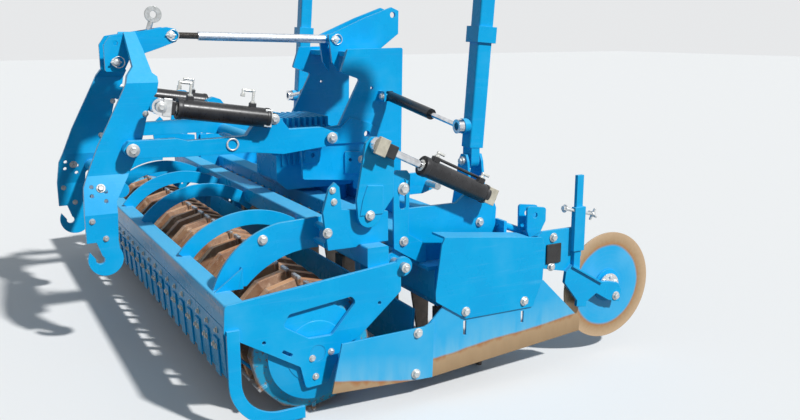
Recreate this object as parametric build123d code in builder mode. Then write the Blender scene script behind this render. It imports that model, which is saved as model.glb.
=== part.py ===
"""Power harrow with ring packer roller, drill lift linkage, folded track markers and side discs.

Millimetres. X runs across the machine, +Y points ahead (towards the towing vehicle), +Z is up.
The origin is on the ground under the middle of the machine. Side outlines are listed as
(ahead of the roller axle, height above the ground).
"""

import math
import os
from collections import namedtuple

from build123d import *

# Rams: sizes of the three kinds of hydraulic cylinder
Ram = namedtuple("Ram", "barrel_radius barrel_length rod_radius engaged pin_radius eye_width eye_play")
depth_ram = Ram(37.0, 330.0, 15.0, 220.0, 14.0, 30.0, 5.0)
lift_ram = Ram(44.0, 425.0, 20.0, 320.0, 14.0, 44.0, 9.0)
marker_ram = Ram(26.0, 400.0, 12.0, 300.0, 12.0, 26.0, 6.0)
ram_eye_wall = 14.0

# Placement along the machine
axle_y = -500.0

# Gear trough and rotors
rotor_count = 12
rotor_pitch = 245.0
rotor_ahead = 700.0
trough_half = 1462.0
trough_top = 516.0
trough_floor = 350.0
trough_depth = 400.0
flange_lip = 30.0
flange_thick = 16.0
lid_beam_height = 74.0

rotor_gap = 0.3
hub_radius = 62.0
hub_height = 34.0
holder_length = 216.0
holder_width = 84.0
holder_thick = 26.0
tine_thick = 16.0
tine_top_width = 92.0
tine_tip_width = 42.0
tine_reach = 112.0

# Packer roller and its frame
roller_radius = 250.0
ring_crest_radius = 240.0
drum_radius = 184.0
ring_count = 24
ring_pitch = 120.0
ring_root_width = 84.0
ring_crest_width = 36.0
ring_sides = 12
lug_thick = 14.0
lug_width = 64.0
lug_root = 12.0
axle_radius = 30.0
running_gap = 0.06

roller_plate_x = 1452.0
roller_plate_thick = 15.0
frame_half = roller_plate_x - roller_plate_thick / 2
guard_thick = 12.0
guard_width = 46.0
guard_bend = 165.0
scraper_width = 36.0
guard_x = roller_plate_x + (roller_plate_thick + guard_thick) / 2
arm_thick = 14.0
arm_arc_radius = 372.0
arm_depth = 64.0
arm_places = (-870.0, -440.0, 0.0, 730.0)
end_arm_x = 1260.0
roller_pivot = (362.0, 532.0)
roller_pin_radius = 18.0
hinge_shaft_radius = 12.0
rear_beam_low, rear_beam_high = 395.0, 486.0
rear_beam_back, rear_beam_front = -345.0, -265.0
front_beam_low, front_beam_high = 540.0, 620.0
front_beam_back, front_beam_front = 216.0, 306.0

# Drill lift linkage
arm_x = 437.0
lift_arm_thick = 44.0
arm_front_pin = (514.0, 910.0)
arm_rear_pin = (-424.0, 912.0)
lift_cylinder_front = (200.0, 1022.0)
lift_cylinder_rear = (-308.0, 1099.0)
top_link_front = (722.0, 1372.0)
top_link_rear = (-136.0, 1396.0)
lift_pin_radius = 22.0
top_link_pin_radius = 14.0
top_link_radius = 22.0
top_link_eye_half = 30.0
drill_top = (-398.0, 1274.0)
drill_top_radius = 13.0
lift_ram_x = 507.0
hook_x = 450.0
leg_x = 385.0
leg_thick = 20.0
head_x = 62.0
head_thick = 14.0

# Headstock
mast_x = 320.0
mast_thick = 20.0
top_bracket_x = 62.0
top_bracket_thick = 16.0
lower_hitch = (1052.0, 640.0)
hitch_pin_radius = 18.3
top_hitch = (1066.0, 1500.0)
top_hitch_radius = 16.0
lower_ear_x = 470.0
deck_low, deck_high = 1285.0, 1310.0
deck_back, deck_front = 742.0, 985.0
foot_low, foot_high = 590.0, 616.0
doubler_thick = 12.0
rib_count = 9
pto_height = 765.0
pto_radius = 17.5
pto_length = 92.0
journal_radius = 25.0
gearbox_face = 800.0

# Side gear
bracket_x = 1372.0
bracket_thick = 16.0
lever_x = 1408.0
lever_thick = 14.0
lever_bolt = (241.0, 738.0)
slot_link_x = 1390.0
slot_link_thick = 10.0
levelling_half = 1400.0
levelling_post_x = 900.0
depth_x = 1440.0
depth_pin_top = (271.0, 1001.0)
depth_pin_base = (766.0, 767.0)
shield_x = 1520.0
shield_thick = 8.0

# Side discs
disc_hub = (1400.0, 305.0)
disc_radius = 240.0
disc_x = 1460.0
disc_thick = 6.0
hub_pin_radius = 20.0
carrier_x = 1480.0
carrier_thick = 14.0

# Track markers
marker_x = 1024.0
marker_pivot_height = 842.0
marker_ahead = 955.0
marker_tube = 74.0
marker_bend_height = 1700.0
marker_end = (300.0, 2010.0)
marker_lean = 0.075
marker_foot_above = 60.0
marker_pin_radius = 20.0
marker_lug_half = 22.0
marker_ear_gap = 31.0
marker_ear_thick = 12.0
marker_disc_radius = 195.0
marker_ram_ahead = 886.0
marker_ram_base = (372.0, 1090.0)
marker_ram_tip_above = 158.0
marker_collar_height = 1365.0


def placed(points):
    """Turns (ahead of the axle, height) into the machine's own Y and Z."""
    return [(axle_y + ahead, height) for ahead, height in points]


def side_plate(points, at_x, thick, holes=(), corner=0.0, mode=Mode.ADD):
    """A flat plate that stands across X, with rounded corners and (ahead, height, radius) holes."""
    with BuildSketch(Plane.YZ.offset(at_x - thick / 2)) as outline:
        with BuildLine():
            Polyline(*placed(points), close=True)
        make_face()
        if corner:
            fillet(outline.vertices(), radius=corner)
        for ahead, height, radius in holes:
            with Locations((axle_y + ahead, height)):
                Circle(radius, mode=Mode.SUBTRACT)
    extrude(outline.sketch, amount=thick, mode=mode)


def cross_bar(centre, radius, from_x, to_x, mode=Mode.ADD):
    """A round bar or bore along X."""
    with BuildSketch(Plane.YZ.offset(from_x)) as section:
        with Locations((axle_y + centre[0], centre[1])):
            Circle(radius)
    extrude(section.sketch, amount=to_x - from_x, mode=mode)


def beam(back, front, low, high, half_length, corner=8.0):
    """A rolled box beam along X with rounded corners."""
    with BuildSketch(Plane.YZ.offset(-half_length)) as section:
        with Locations((axle_y + (back + front) / 2, (low + high) / 2)):
            RectangleRounded(front - back, high - low, corner)
    extrude(section.sketch, amount=2 * half_length)


def block(back, front, low, high):
    """The four corners of a plain rectangle seen from the side."""
    return [(back, low), (front, low), (front, high), (back, high)]


def point(at_x, side_point):
    """The place of a side point (ahead, height) at one X."""
    return Vector(at_x, axle_y + side_point[0], side_point[1])


def round_bar(start, end, radius, mode=Mode.ADD):
    """A round bar or bore between two places."""
    with BuildSketch(Plane(origin=start, z_dir=end - start)) as section:
        Circle(radius)
    extrude(section.sketch, amount=(end - start).length, mode=mode)


def ram_barrel(base, tip, cross, ram):
    """A cylinder barrel whose eye sits at the base pin, bored for its rod."""
    along = (tip - base).normalized()
    half_eye = cross * (ram.eye_width / 2)
    round_bar(base - half_eye, base + half_eye, ram.pin_radius + ram_eye_wall)
    tube_start = base + along * (ram.pin_radius + 4)
    tube_end = tube_start + along * ram.barrel_length
    round_bar(tube_start, tube_end, ram.barrel_radius)
    round_bar(base - half_eye * 3, base + half_eye * 3, ram.pin_radius + running_gap, Mode.SUBTRACT)
    round_bar(tube_start + along * 40, tube_end + along, ram.rod_radius + running_gap, Mode.SUBTRACT)


def ram_rod(base, tip, cross, ram):
    """The rod in its barrel, with an open eye that stays clear of the pin at its tip."""
    along = (tip - base).normalized()
    half_eye = cross * (ram.eye_width / 2)
    hole_radius = ram.pin_radius + ram.eye_play
    rod_start = base + along * (ram.pin_radius + 4 + ram.barrel_length - ram.engaged)
    round_bar(rod_start, tip - along * (hole_radius + 4), ram.rod_radius)
    round_bar(tip - half_eye, tip + half_eye, hole_radius + ram_eye_wall)
    round_bar(tip - half_eye * 2, tip + half_eye * 2, hole_radius, Mode.SUBTRACT)


def boom_place(side, height):
    """The middle of a folded marker boom at one height: it leans ahead above its pivot."""
    lean = (height - marker_pivot_height) * marker_lean
    return Vector(side * marker_x, axle_y + marker_ahead + lean, height)


def save(piece, name):
    piece.part.label = name
    export_step(piece.part, "parts/" + name + ".step")


os.makedirs("parts", exist_ok=True)

# The closed gear trough with its bolted lid flange
trough_back = rotor_ahead - trough_depth / 2
trough_front = rotor_ahead + trough_depth / 2
with BuildPart() as trough:
    side_plate(
        [
            (trough_back + 12, trough_floor),
            (trough_front - 12, trough_floor),
            (trough_front, trough_floor + 24),
            (trough_front, trough_top - flange_thick),
            (trough_front + flange_lip, trough_top - flange_thick),
            (trough_front + flange_lip, trough_top),
            (trough_back - flange_lip, trough_top),
            (trough_back - flange_lip, trough_top - flange_thick),
            (trough_back, trough_top - flange_thick),
            (trough_back, trough_floor + 24),
        ],
        0,
        2 * trough_half,
    )
    for back in (trough_back - 10, trough_front - 90):
        beam(back, back + 100, trough_top, trough_top + lid_beam_height, trough_half - 110)
    first_rotor_x = -rotor_pitch * (rotor_count - 1) / 2
save(trough, "gear_trough")

# Rotors: a hub under the trough, a tine holder and two knife tines
rotor_top = trough_floor - rotor_gap
holder_low = rotor_top - hub_height - holder_thick
for index in range(rotor_count):
    rotor_x = first_rotor_x + index * rotor_pitch
    turn = 90 * (index % 2)
    centre = Location((rotor_x, axle_y + rotor_ahead, 0), (0, 0, turn))
    with BuildPart() as rotor:
        with BuildSketch(Plane.XY.offset(rotor_top - hub_height)):
            with Locations(centre):
                Circle(hub_radius)
        extrude(amount=hub_height)
        with BuildSketch(Plane.XY.offset(holder_low)):
            with Locations(centre):
                SlotOverall(holder_length, holder_width)
        extrude(amount=holder_thick)
        along = Plane(centre).x_dir
        for side in (-1, 1):
            blade = Plane(
                origin=centre.position + along * (side * (tine_reach - tine_thick / 2)),
                x_dir=Plane(centre).y_dir,
                z_dir=along,
            )
            with BuildSketch(blade):
                with BuildLine():
                    Polyline(
                        (-tine_top_width / 2, holder_low),
                        (tine_top_width / 2, holder_low),
                        (tine_tip_width, 0),
                        (0, 0),
                        close=True,
                    )
                make_face()
            extrude(amount=tine_thick / 2, both=True)
    save(rotor, "rotor_" + str(index + 1).zfill(2))

# One ring of the packer roller, then the drum with all its rings
with BuildPart() as ring:
    flank = (ring_root_width - ring_crest_width) / 2
    flank_angle = math.degrees(math.atan2(ring_crest_radius - drum_radius, flank))
    for side in (-1, 1):
        with BuildSketch(Plane.YZ.offset(side * ring_crest_width / 2)) as crest:
            with Locations((axle_y, roller_radius)):
                RegularPolygon(ring_crest_radius, ring_sides)
        extrude(crest.sketch, amount=side * flank, taper=flank_angle)
        extrude(crest.sketch, amount=-side * ring_crest_width / 2)
    with BuildSketch(Plane.YZ.offset(-lug_width / 2)) as lugs:
        with Locations((axle_y, roller_radius)):
            lug_middle = (ring_crest_radius + roller_radius) / 2 - lug_root
            with PolarLocations(lug_middle, ring_sides // 2, start_angle=-90):
                Rectangle(roller_radius - ring_crest_radius + 2 * lug_root, lug_thick)
    extrude(lugs.sketch, amount=lug_width)

first_ring_x = -ring_pitch * (ring_count - 1) / 2
drum_half = ring_pitch * ring_count / 2 - 6
with BuildPart() as roller:
    with BuildSketch(Plane.YZ.offset(-drum_half)) as drum:
        with Locations((axle_y, roller_radius)):
            RegularPolygon(drum_radius, ring_sides)
    extrude(drum.sketch, amount=2 * drum_half)
    cross_bar((0, roller_radius), axle_radius, -roller_plate_x - 6, roller_plate_x + 6)
    with Locations(*[(first_ring_x + index * ring_pitch, 0, 0) for index in range(ring_count)]):
        add(ring.part)
save(roller, "packer_roller")

# Roller frame: front and rear beams tied by curved arms over the roller
roller_centre = (axle_y, roller_radius)
with BuildPart() as roller_frame:
    beam(rear_beam_back, rear_beam_front, rear_beam_low, rear_beam_high, frame_half)
    beam(front_beam_back, front_beam_front, front_beam_low, front_beam_high, frame_half)
    for place in arm_places:
        with BuildSketch(Plane.YZ.offset(place - arm_thick / 2)) as arm:
            with BuildLine():
                outer = CenterArc(roller_centre, arm_arc_radius + arm_depth / 2, 46, 96)
                inner = CenterArc(roller_centre, arm_arc_radius - arm_depth / 2, 46, 96)
                Line(outer @ 0, inner @ 0)
                Line(outer @ 1, inner @ 1)
            make_face()
        extrude(arm.sketch, amount=arm_thick)
    heel, toe = placed([(-328, rear_beam_high), (-200, rear_beam_high)])
    crown, brow, chin = placed([(-235, 628), (108, 721), (92, 600)])
    for side in (-1, 1):
        with BuildSketch(Plane.YZ.offset(side * end_arm_x - arm_thick / 2)) as end_arm:
            with BuildLine():
                ThreePointArc(heel, crown, (axle_y - 60, 712))
                Polyline((axle_y - 60, 712), brow, chin)
                ThreePointArc(chin, (axle_y - 62, 577), toe)
                Line(toe, heel)
            make_face()
        extrude(end_arm.sketch, amount=arm_thick)
        gusset_x = side * (end_arm_x + arm_thick / 2 + 22)
        side_plate([(-331, rear_beam_high), (-222, 564), (-222, rear_beam_high)], gusset_x, 10)
        side_plate([(-240, rear_beam_high), (-222, 564), (-222, rear_beam_high)], side * (end_arm_x + 20), 30)
        for spacer in ((92, 690), (84, 630)):
            cross_bar(spacer, 13, side * end_arm_x, side * (bracket_x - bracket_thick / 2))
save(roller_frame, "roller_frame")

# End plates of the roller frame, with the long cut-out, axle bore and pivot boss
end_plate_outline = [
    (-345, 486),
    (350, 556),
    (352, 437),
    (166, 280),
    (97, 258),
    (40, 125),
    (-50, 120),
    (-70, 208),
    (-352, 381),
]
end_plate_window = [(-135, 376), (-108, 418), (140, 447), (160, 425), (58, 310), (-34, 312)]
end_plate_slot = [(-142, 276), (-106, 253), (-98, 264), (-134, 287)]
end_plate_holes = ((-207, 327, 7), (258, 403, 7))
with BuildPart() as end_plates:
    for side in (-1, 1):
        at_x = side * roller_plate_x
        side_plate(end_plate_outline, at_x, roller_plate_thick, end_plate_holes, corner=14)
        low_x = at_x - roller_plate_thick / 2
        cross_bar(roller_pivot, roller_pin_radius + 20, low_x, low_x + roller_plate_thick)
        side_plate(end_plate_window, at_x, roller_plate_thick, corner=16, mode=Mode.SUBTRACT)
        side_plate(end_plate_slot, at_x, roller_plate_thick, corner=4, mode=Mode.SUBTRACT)
        for centre, radius in (
            ((0, roller_radius), axle_radius),
            (roller_pivot, roller_pin_radius),
        ):
            cross_bar(
                centre,
                radius + running_gap,
                low_x,
                low_x + roller_plate_thick,
                Mode.SUBTRACT,
            )
save(end_plates, "roller_end_plates")

# Curved guards that hang from the rear beam and pass under the roller's ends
with BuildPart() as guards:
    for side in (-1, 1):
        with BuildSketch(Plane.YZ.offset(side * guard_x - guard_thick / 2)) as guard:
            with BuildLine():
                path = FilletPolyline(
                    *placed([(-322, 396), (-322, 34), (-60, 34)]),
                    radius=guard_bend,
                )
            trace(line_width=guard_width)
        extrude(guard.sketch, amount=guard_thick)
save(guards, "roller_guards")

scraper_top = rear_beam_low - 0.3

# Scrapers, one between each pair of rings, on a carrier under the rear beam
with BuildPart() as scrapers:
    side_plate(
        [(-343, scraper_top), (-333, scraper_top), (-324, 200), (-334, 200)],
        0,
        2 * frame_half - 60,
    )
    for index in range(ring_count - 1):
        scraper_x = first_ring_x + (index + 0.5) * ring_pitch
        side_plate(
            [(-332, 296), (-326, 304), (-199, 176), (-206, 169)],
            scraper_x,
            scraper_width,
        )
save(scrapers, "scrapers")

# Depth levers: an upright lever on a side plate that stands on the front beam
lever_outline = [
    (228, 1012),
    (250, 1034),
    (300, 1030),
    (324, 1012),
    (346, 950),
    (343, 800),
    (288, 730),
    (194, 730),
    (188, 800),
]
lever_pad_outline = [(212, 800), (232, 853), (298, 846), (296, 740), (200, 740)]
side_arm_outline = [
    (84, front_beam_high - 8),
    (66, 760),
    (92, 846),
    (116, 868),
    (134, 850),
    (142, 764),
    (338, 738),
    (338, front_beam_high),
    (210, front_beam_high),
    (200, front_beam_high - 8),
]
with BuildPart() as levers:
    for side in (-1, 1):
        side_plate(side_arm_outline, side * bracket_x, bracket_thick)
        lever_face = side * (lever_x + lever_thick / 2)
        side_plate(lever_outline, side * lever_x, lever_thick)
        cross_bar(lever_bolt, 47, side * (lever_x - lever_thick / 2), lever_face)
        side_plate(lever_pad_outline, lever_face, lever_thick / 2)
        cross_bar(lever_bolt, 30, side * (bracket_x + bracket_thick / 2), side * lever_x)
        pin_end = side * (depth_x + depth_ram.eye_width / 2 + 10)
        cross_bar(depth_pin_top, depth_ram.pin_radius, side * lever_x, pin_end)
save(levers, "depth_levers")

# Depth cylinders, one each side
across_machine = Vector(1, 0, 0)
with BuildPart() as depth_barrels:
    for side in (-1, 1):
        base, tip = point(side * depth_x, depth_pin_base), point(side * depth_x, depth_pin_top)
        ram_barrel(base, tip, across_machine, depth_ram)
save(depth_barrels, "depth_cylinder_barrels")

with BuildPart() as depth_rods:
    for side in (-1, 1):
        base, tip = point(side * depth_x, depth_pin_base), point(side * depth_x, depth_pin_top)
        ram_rod(base, tip, across_machine, depth_ram)
save(depth_rods, "depth_cylinder_rods")

# Side brackets on the trough: they carry the roller pivots and the depth cylinders
bracket_outline = [
    (362, 494),
    (400, 500),
    (466, trough_top),
    (838, trough_top),
    (846, 700),
    (806, 792),
    (726, 796),
    (650, 738),
    (376, 738),
    (374, 600),
    (362, 570),
]
with BuildPart() as brackets:
    for side in (-1, 1):
        at_x = side * bracket_x
        side_plate(bracket_outline, at_x, bracket_thick)
        outer_x = side * (bracket_x + bracket_thick / 2)
        cross_bar(roller_pivot, roller_pin_radius + 20, side * (bracket_x - bracket_thick / 2), outer_x)
        cross_bar(roller_pivot, roller_pin_radius, outer_x, side * (roller_plate_x + 24))
        cross_bar(depth_pin_base, depth_ram.pin_radius, outer_x, side * (depth_x + 26))
save(brackets, "side_brackets")

# Long shaft that ties the two side brackets along the roller frame's hinge line
bracket_inner = bracket_x - bracket_thick / 2
with BuildPart() as hinge_shaft:
    cross_bar(roller_pivot, hinge_shaft_radius, -bracket_inner, bracket_inner)
save(hinge_shaft, "hinge_shaft")

# Slotted links of the levelling gear, bolted to the side brackets
link_outline = [
    (356, 588),
    (353, 880),
    (366, 896),
    (414, 892),
    (427, 874),
    (420, 640),
    (500, 590),
    (500, trough_top),
    (474, trough_top),
    (400, 560),
]
with BuildPart() as slot_links:
    for side in (-1, 1):
        side_plate(link_outline, side * slot_link_x, slot_link_thick)
        side_plate(
            block(380, 408, 742, 861),
            side * slot_link_x,
            slot_link_thick,
            corner=13,
            mode=Mode.SUBTRACT,
        )
save(slot_links, "slot_links")

# Levelling bar behind the rotors with its two uprights
with BuildPart() as levelling_bar:
    side_plate(
        [(424, 118), (434, 110), (448, 330), (438, 330)],
        0,
        2 * levelling_half,
    )
    for side in (-1, 1):
        side_plate(
            [(438, 250), (478, 250), (478, trough_top - flange_thick), (438, trough_top - flange_thick)],
            side * levelling_post_x,
            60,
        )
save(levelling_bar, "levelling_bar")

# Headstock: mast plates with their doublers, the deck that ties them and the pins they carry
mast_holes = ((466, 811, 12), (672, 773, 9), (769, 900, 16), (805, 1131, 8))
mast_outline = [
    (412, 852),
    (417, 690),
    (700, 664),
    (700, foot_high),
    (972, foot_high),
    (984, 1331),
    (672, 1327),
    (632, 1214),
    (738, 1178),
    (617, 950),
    (486, 940),
    (470, 896),
]
doubler_outlines = (
    [(478, 862), (490, 938), (622, 938), (672, 988), (790, 954), (826, 922), (829, 856)],
    [(643, 705), (736, 698), (736, 810), (643, 818)],
    [(424, 776), (504, 770), (504, 832), (424, 838)],
)
with BuildPart() as headstock:
    for side in (-1, 1):
        outer_x = side * (mast_x + mast_thick / 2)
        side_plate(mast_outline, side * mast_x, mast_thick, corner=10)
        for outline in doubler_outlines:
            side_plate(outline, outer_x, doubler_thick * 2, corner=12)
        for ahead, height, radius in mast_holes:
            mast_inner = side * (mast_x - mast_thick / 2 - 1)
            doubler_face = side * (mast_x + mast_thick / 2 + doubler_thick + 1)
            cross_bar((ahead, height), radius, mast_inner, doubler_face, Mode.SUBTRACT)
        arm_inner = side * (arm_x - lift_arm_thick / 2 - 0.3)
        arm_end = side * (arm_x + lift_arm_thick / 2 + 14)
        cross_bar(arm_front_pin, 34, outer_x, arm_inner)
        cross_bar(arm_front_pin, lift_pin_radius, outer_x, arm_end)
        ear_ahead = marker_ram_ahead - marker_ram.barrel_radius - 17
        base_across, base_high = marker_ram_base
        ram_base = Vector(side * base_across, axle_y + ear_ahead, base_high)
        side_plate(
            block(ear_ahead, ear_ahead + 12, base_high - 26, base_high + 26),
            (abs(outer_x) + base_across + 20) / 2 * side,
            base_across + 20 - abs(outer_x),
        )
        round_bar(ram_base, ram_base + Vector(0, 62, 0), marker_ram.pin_radius)
    side_plate(
        block(deck_back, deck_front - 6, deck_low, deck_high),
        0,
        2 * mast_x - mast_thick,
    )
save(headstock, "headstock")

# Top brackets on the deck, with the hole for the upper link and the drill link's front pin
top_bracket_outline = [
    (686, 1394),
    (900, 1484),
    (1058, 1540),
    (1102, 1522),
    (1100, 1400),
    (deck_front - 10, deck_high),
    (deck_back, deck_high),
    (deck_back, 1204),
    (704, 1252),
]
with BuildPart() as top_bracket:
    for side in (-1, 1):
        side_plate(
            top_bracket_outline,
            side * top_bracket_x,
            top_bracket_thick,
            holes=[(*top_hitch, top_hitch_radius)],
        )
    cross_bar(top_link_front, top_link_pin_radius, -top_bracket_x - 8, top_bracket_x + 8)
save(top_bracket, "top_bracket")

# Hitch beam on the trough's lid beams, with the ears of the two lower hitch pins
hitch_ear_outline = [
    (820, foot_low),
    (1020, foot_low),
    (1086, 610),
    (1086, 668),
    (1020, 700),
    (820, 700),
]
with BuildPart() as hitch_beam:
    side_plate(block(810, 910, foot_low, foot_high), 0, 2 * lower_ear_x)
    for side in (-1, 1):
        side_plate(hitch_ear_outline, side * lower_ear_x, mast_thick, corner=12)
        cross_bar(lower_hitch, hitch_pin_radius, side * lower_ear_x, side * (lower_ear_x + 110))
save(hitch_beam, "hitch_beam")

# Gearbox with cooling ribs, its neck on the trough and the input shaft's bore
gearbox_outline = [
    (345, 660),
    (345, 900),
    (400, 935),
    (640, 935),
    (790, 860),
    (790, 640),
    (760, 610),
    (400, 610),
]
with BuildPart() as gearbox:
    with BuildSketch(Plane.XY.offset(trough_top)):
        with Locations((0, axle_y + rotor_ahead)):
            Circle(98)
    extrude(amount=110)
    side_plate(gearbox_outline, 0, 300, corner=16)
    for index in range(rib_count):
        rib_ahead = 372 + index * 31
        side_plate(block(rib_ahead, rib_ahead + 12, 740, 982), 0, 326)
    round_bar(
        Vector(0, axle_y + 770, pto_height),
        Vector(0, axle_y + gearbox_face, pto_height),
        journal_radius + 22,
    )
    round_bar(
        Vector(0, axle_y + 738, pto_height),
        Vector(0, axle_y + gearbox_face + 1, pto_height),
        journal_radius + running_gap,
        Mode.SUBTRACT,
    )
save(gearbox, "gearbox")

# The input shaft: a journal in the gearbox and the splined stub's plain round core
with BuildPart() as input_shaft:
    stub_start = Vector(0, axle_y + gearbox_face, pto_height)
    round_bar(Vector(0, axle_y + 742, pto_height), stub_start, journal_radius)
    round_bar(stub_start, stub_start + Vector(0, pto_length, 0), pto_radius)
save(input_shaft, "input_shaft")

# Lower lift arms with their upstands, tied by one cross tube
lift_arm_outline = [
    (-462, 912),
    (-436, 950),
    (-230, 950),
    (-180, 936),
    (90, 942),
    (164, 1040),
    (200, 1058),
    (238, 1044),
    (300, 962),
    (470, 962),
    (552, 930),
    (552, 884),
    (470, 866),
    (270, 846),
    (100, 866),
    (-200, 866),
    (-390, 874),
    (-440, 880),
]
with BuildPart() as lift_arms:
    for side in (-1, 1):
        side_plate(lift_arm_outline, side * arm_x, lift_arm_thick, corner=8)
        near_x = side * (arm_x - lift_arm_thick / 2)
        far_x = side * (arm_x + lift_arm_thick / 2)
        for pin in (arm_front_pin, arm_rear_pin):
            cross_bar(pin, lift_pin_radius + running_gap, near_x, far_x, Mode.SUBTRACT)
        cross_bar(lift_cylinder_front, lift_ram.pin_radius, far_x, side * (lift_ram_x + 30))
    cross_bar((250, 870), 36, -arm_x + lift_arm_thick / 2, arm_x - lift_arm_thick / 2)
save(lift_arms, "lift_arms")

# Hook frame: two bent legs with catch hooks, a cross tube and the head plates
leg_outline = [
    (-353, 1412),
    (-300, 1412),
    (-294, 1335),
    (-293, 1235),
    (-276, 1219),
    (-290, 1150),
    (-321, 1118),
    (-376, 911),
    (-440, 787),
    (-500, 690),
    (-508, 520),
    (-500, 440),
    (-560, 380),
    (-640, 520),
    (-640, 640),
    (-629, 754),
    (-556, 926),
    (-442, 1147),
    (-404, 1223),
    (-367, 1260),
]
hook_centre = (-566, 442)
hook_radius = 74
hook_holes = ((-597, 756), (-541, 733), (-544, 694), (-600, 719))
leg_back, leg_front = -660, -260
with BuildPart() as legs:
    with BuildSketch(Plane.XZ.offset(-(axle_y + leg_front))) as strips:
        for side in (-1, 1):
            with BuildLine():
                Polyline(
                    (side * hook_x, 340),
                    (side * hook_x, 640),
                    (side * leg_x, 800),
                    (side * leg_x, 1190),
                    (side * head_x, 1404),
                )
            trace(line_width=leg_thick)
    extrude(strips.sketch, amount=leg_front - leg_back)
    with BuildSketch(Plane.YZ.offset(-hook_x - 50)) as side_view:
        with BuildLine():
            Polyline(*placed(leg_outline), close=True)
        make_face()
        with Locations(*placed([hook_centre])):
            Circle(hook_radius)
        with Locations(*placed([lift_cylinder_rear])):
            Circle(34)
        with BuildLine():
            Polyline(*placed([(-607, 446), (-572, 436), (-600, 520), (-660, 520)]), close=True)
        make_face(mode=Mode.SUBTRACT)
        with Locations(*placed([(-589, 441)])):
            Circle(19, mode=Mode.SUBTRACT)
        with Locations(*placed(hook_holes)):
            Circle(9, mode=Mode.SUBTRACT)
    extrude(side_view.sketch, amount=2 * hook_x + 100, mode=Mode.INTERSECT)

head_outline = [
    (-446, 1352),
    (-417, 1393),
    (-153, 1434),
    (-108, 1424),
    (-96, 1396),
    (-110, 1366),
    (-192, 1336),
    (-330, 1290),
    (-362, 1230),
    (-446, 1230),
]
ring_eye, ring_eye_foot = (-198, 1493), (-232, 1396)
with BuildPart() as hook_frame:
    add(legs.part)
    for side in (-1, 1):
        side_plate(
            head_outline,
            side * head_x,
            head_thick,
            holes=[(*drill_top, drill_top_radius), (-393, 1360, 11)],
            corner=9,
        )
        arm_inner = side * (arm_x - lift_arm_thick / 2 - 0.3)
        arm_end = side * (arm_x + lift_arm_thick / 2 + 14)
        cross_bar(arm_rear_pin, lift_pin_radius + 10, side * leg_x, arm_inner)
        cross_bar(arm_rear_pin, lift_pin_radius, side * leg_x, arm_end)
        ram_pin_end = side * (lift_ram_x + lift_ram.eye_width / 2 + 10)
        cross_bar(lift_cylinder_rear, lift_ram.pin_radius, side * leg_x, ram_pin_end)
    cross_bar((-470, 730), 34, -leg_x - 12, leg_x + 12)
    cross_bar(top_link_rear, top_link_pin_radius, -head_x - 8, head_x + 8)
    cross_bar(ring_eye_foot, 12, -head_x, head_x)
    round_bar(point(0, ring_eye_foot), point(0, ring_eye), 13)
    cross_bar(ring_eye, 39, -12, 12)
    cross_bar(ring_eye, 17, -13, 13, Mode.SUBTRACT)
save(hook_frame, "hook_frame")

# Lift cylinders between the lower arms and the hook frame's legs
with BuildPart() as lift_barrels:
    for side in (-1, 1):
        base = point(side * lift_ram_x, lift_cylinder_front)
        tip = point(side * lift_ram_x, lift_cylinder_rear)
        ram_barrel(base, tip, across_machine, lift_ram)
save(lift_barrels, "lift_cylinder_barrels")

with BuildPart() as lift_rods:
    for side in (-1, 1):
        base = point(side * lift_ram_x, lift_cylinder_front)
        tip = point(side * lift_ram_x, lift_cylinder_rear)
        ram_rod(base, tip, across_machine, lift_ram)
save(lift_rods, "lift_cylinder_rods")

# Bright top link of the drill linkage, hinged on the headstock
link_front, link_rear = point(0, top_link_front), point(0, top_link_rear)
link_along = (link_rear - link_front).normalized()
eye_half = Vector(top_link_eye_half, 0, 0)
with BuildPart() as top_link:
    round_bar(link_front - eye_half, link_front + eye_half, top_link_pin_radius + 14)
    round_bar(link_front + link_along * 20, link_rear - link_along * 150, top_link_radius)
    round_bar(link_rear - link_along * 152, link_rear - link_along * 26, top_link_radius * 0.7)
    rear_hole = top_link_pin_radius + 8
    round_bar(link_rear - eye_half, link_rear + eye_half, rear_hole + 14)
    round_bar(
        link_front - eye_half * 2,
        link_front + eye_half * 2,
        top_link_pin_radius + running_gap,
        Mode.SUBTRACT,
    )
    round_bar(link_rear - eye_half * 2, link_rear + eye_half * 2, rear_hole, Mode.SUBTRACT)
save(top_link, "top_link")

# Side shields: a bent upper guard over a worn lower skid plate, and a wing behind
shield_outline = [
    (505, 646),
    (975, 590),
    (987, 545),
    (981, 407),
    (936, 299),
    (606, 302),
    (466, 393),
    (464, 430),
    (490, 616),
]
skid_outline = [
    (480, 455),
    (993, 402),
    (1199, 200),
    (1196, 146),
    (435, 83),
    (435, 302),
    (528, 389),
]
wing_outline = [
    (460, 318),
    (415, 302),
    (66, 297),
    (23, 110),
    (398, 90),
    (452, 88),
]
with BuildPart() as skids:
    for side in (-1, 1):
        side_plate(skid_outline, side * shield_x, shield_thick)
        for slot in (block(598, 612, 232, 292), block(881, 895, 235, 286)):
            side_plate(slot, side * shield_x, shield_thick, mode=Mode.SUBTRACT)
save(skids, "skid_plates")

with BuildPart() as shields:
    for side in (-1, 1):
        side_plate(shield_outline, side * (shield_x + shield_thick), shield_thick, corner=10)
        inner = side * (trough_half - 30)
        outer = side * (shield_x + shield_thick / 2)
        side_plate(
            [(505, 646), (912, 597.5), (911, 589.5), (504, 638)],
            (inner + outer) / 2,
            abs(outer - inner),
        )
save(shields, "side_shields")

with BuildPart() as wings:
    for side in (-1, 1):
        side_plate(wing_outline, side * (shield_x + shield_thick), shield_thick)
save(wings, "rear_wings")

# Brackets that carry the shields from the trough's ends
with BuildPart() as shield_arms:
    for side in (-1, 1):
        trough_face = side * trough_half
        shield_face = side * (shield_x - shield_thick / 2)
        centre_x = (trough_face + shield_face) / 2
        for back in (560, 860):
            side_plate(block(back, back + 50, 405, 455), centre_x, abs(shield_face - trough_face))
save(shield_arms, "shield_arms")

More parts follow.
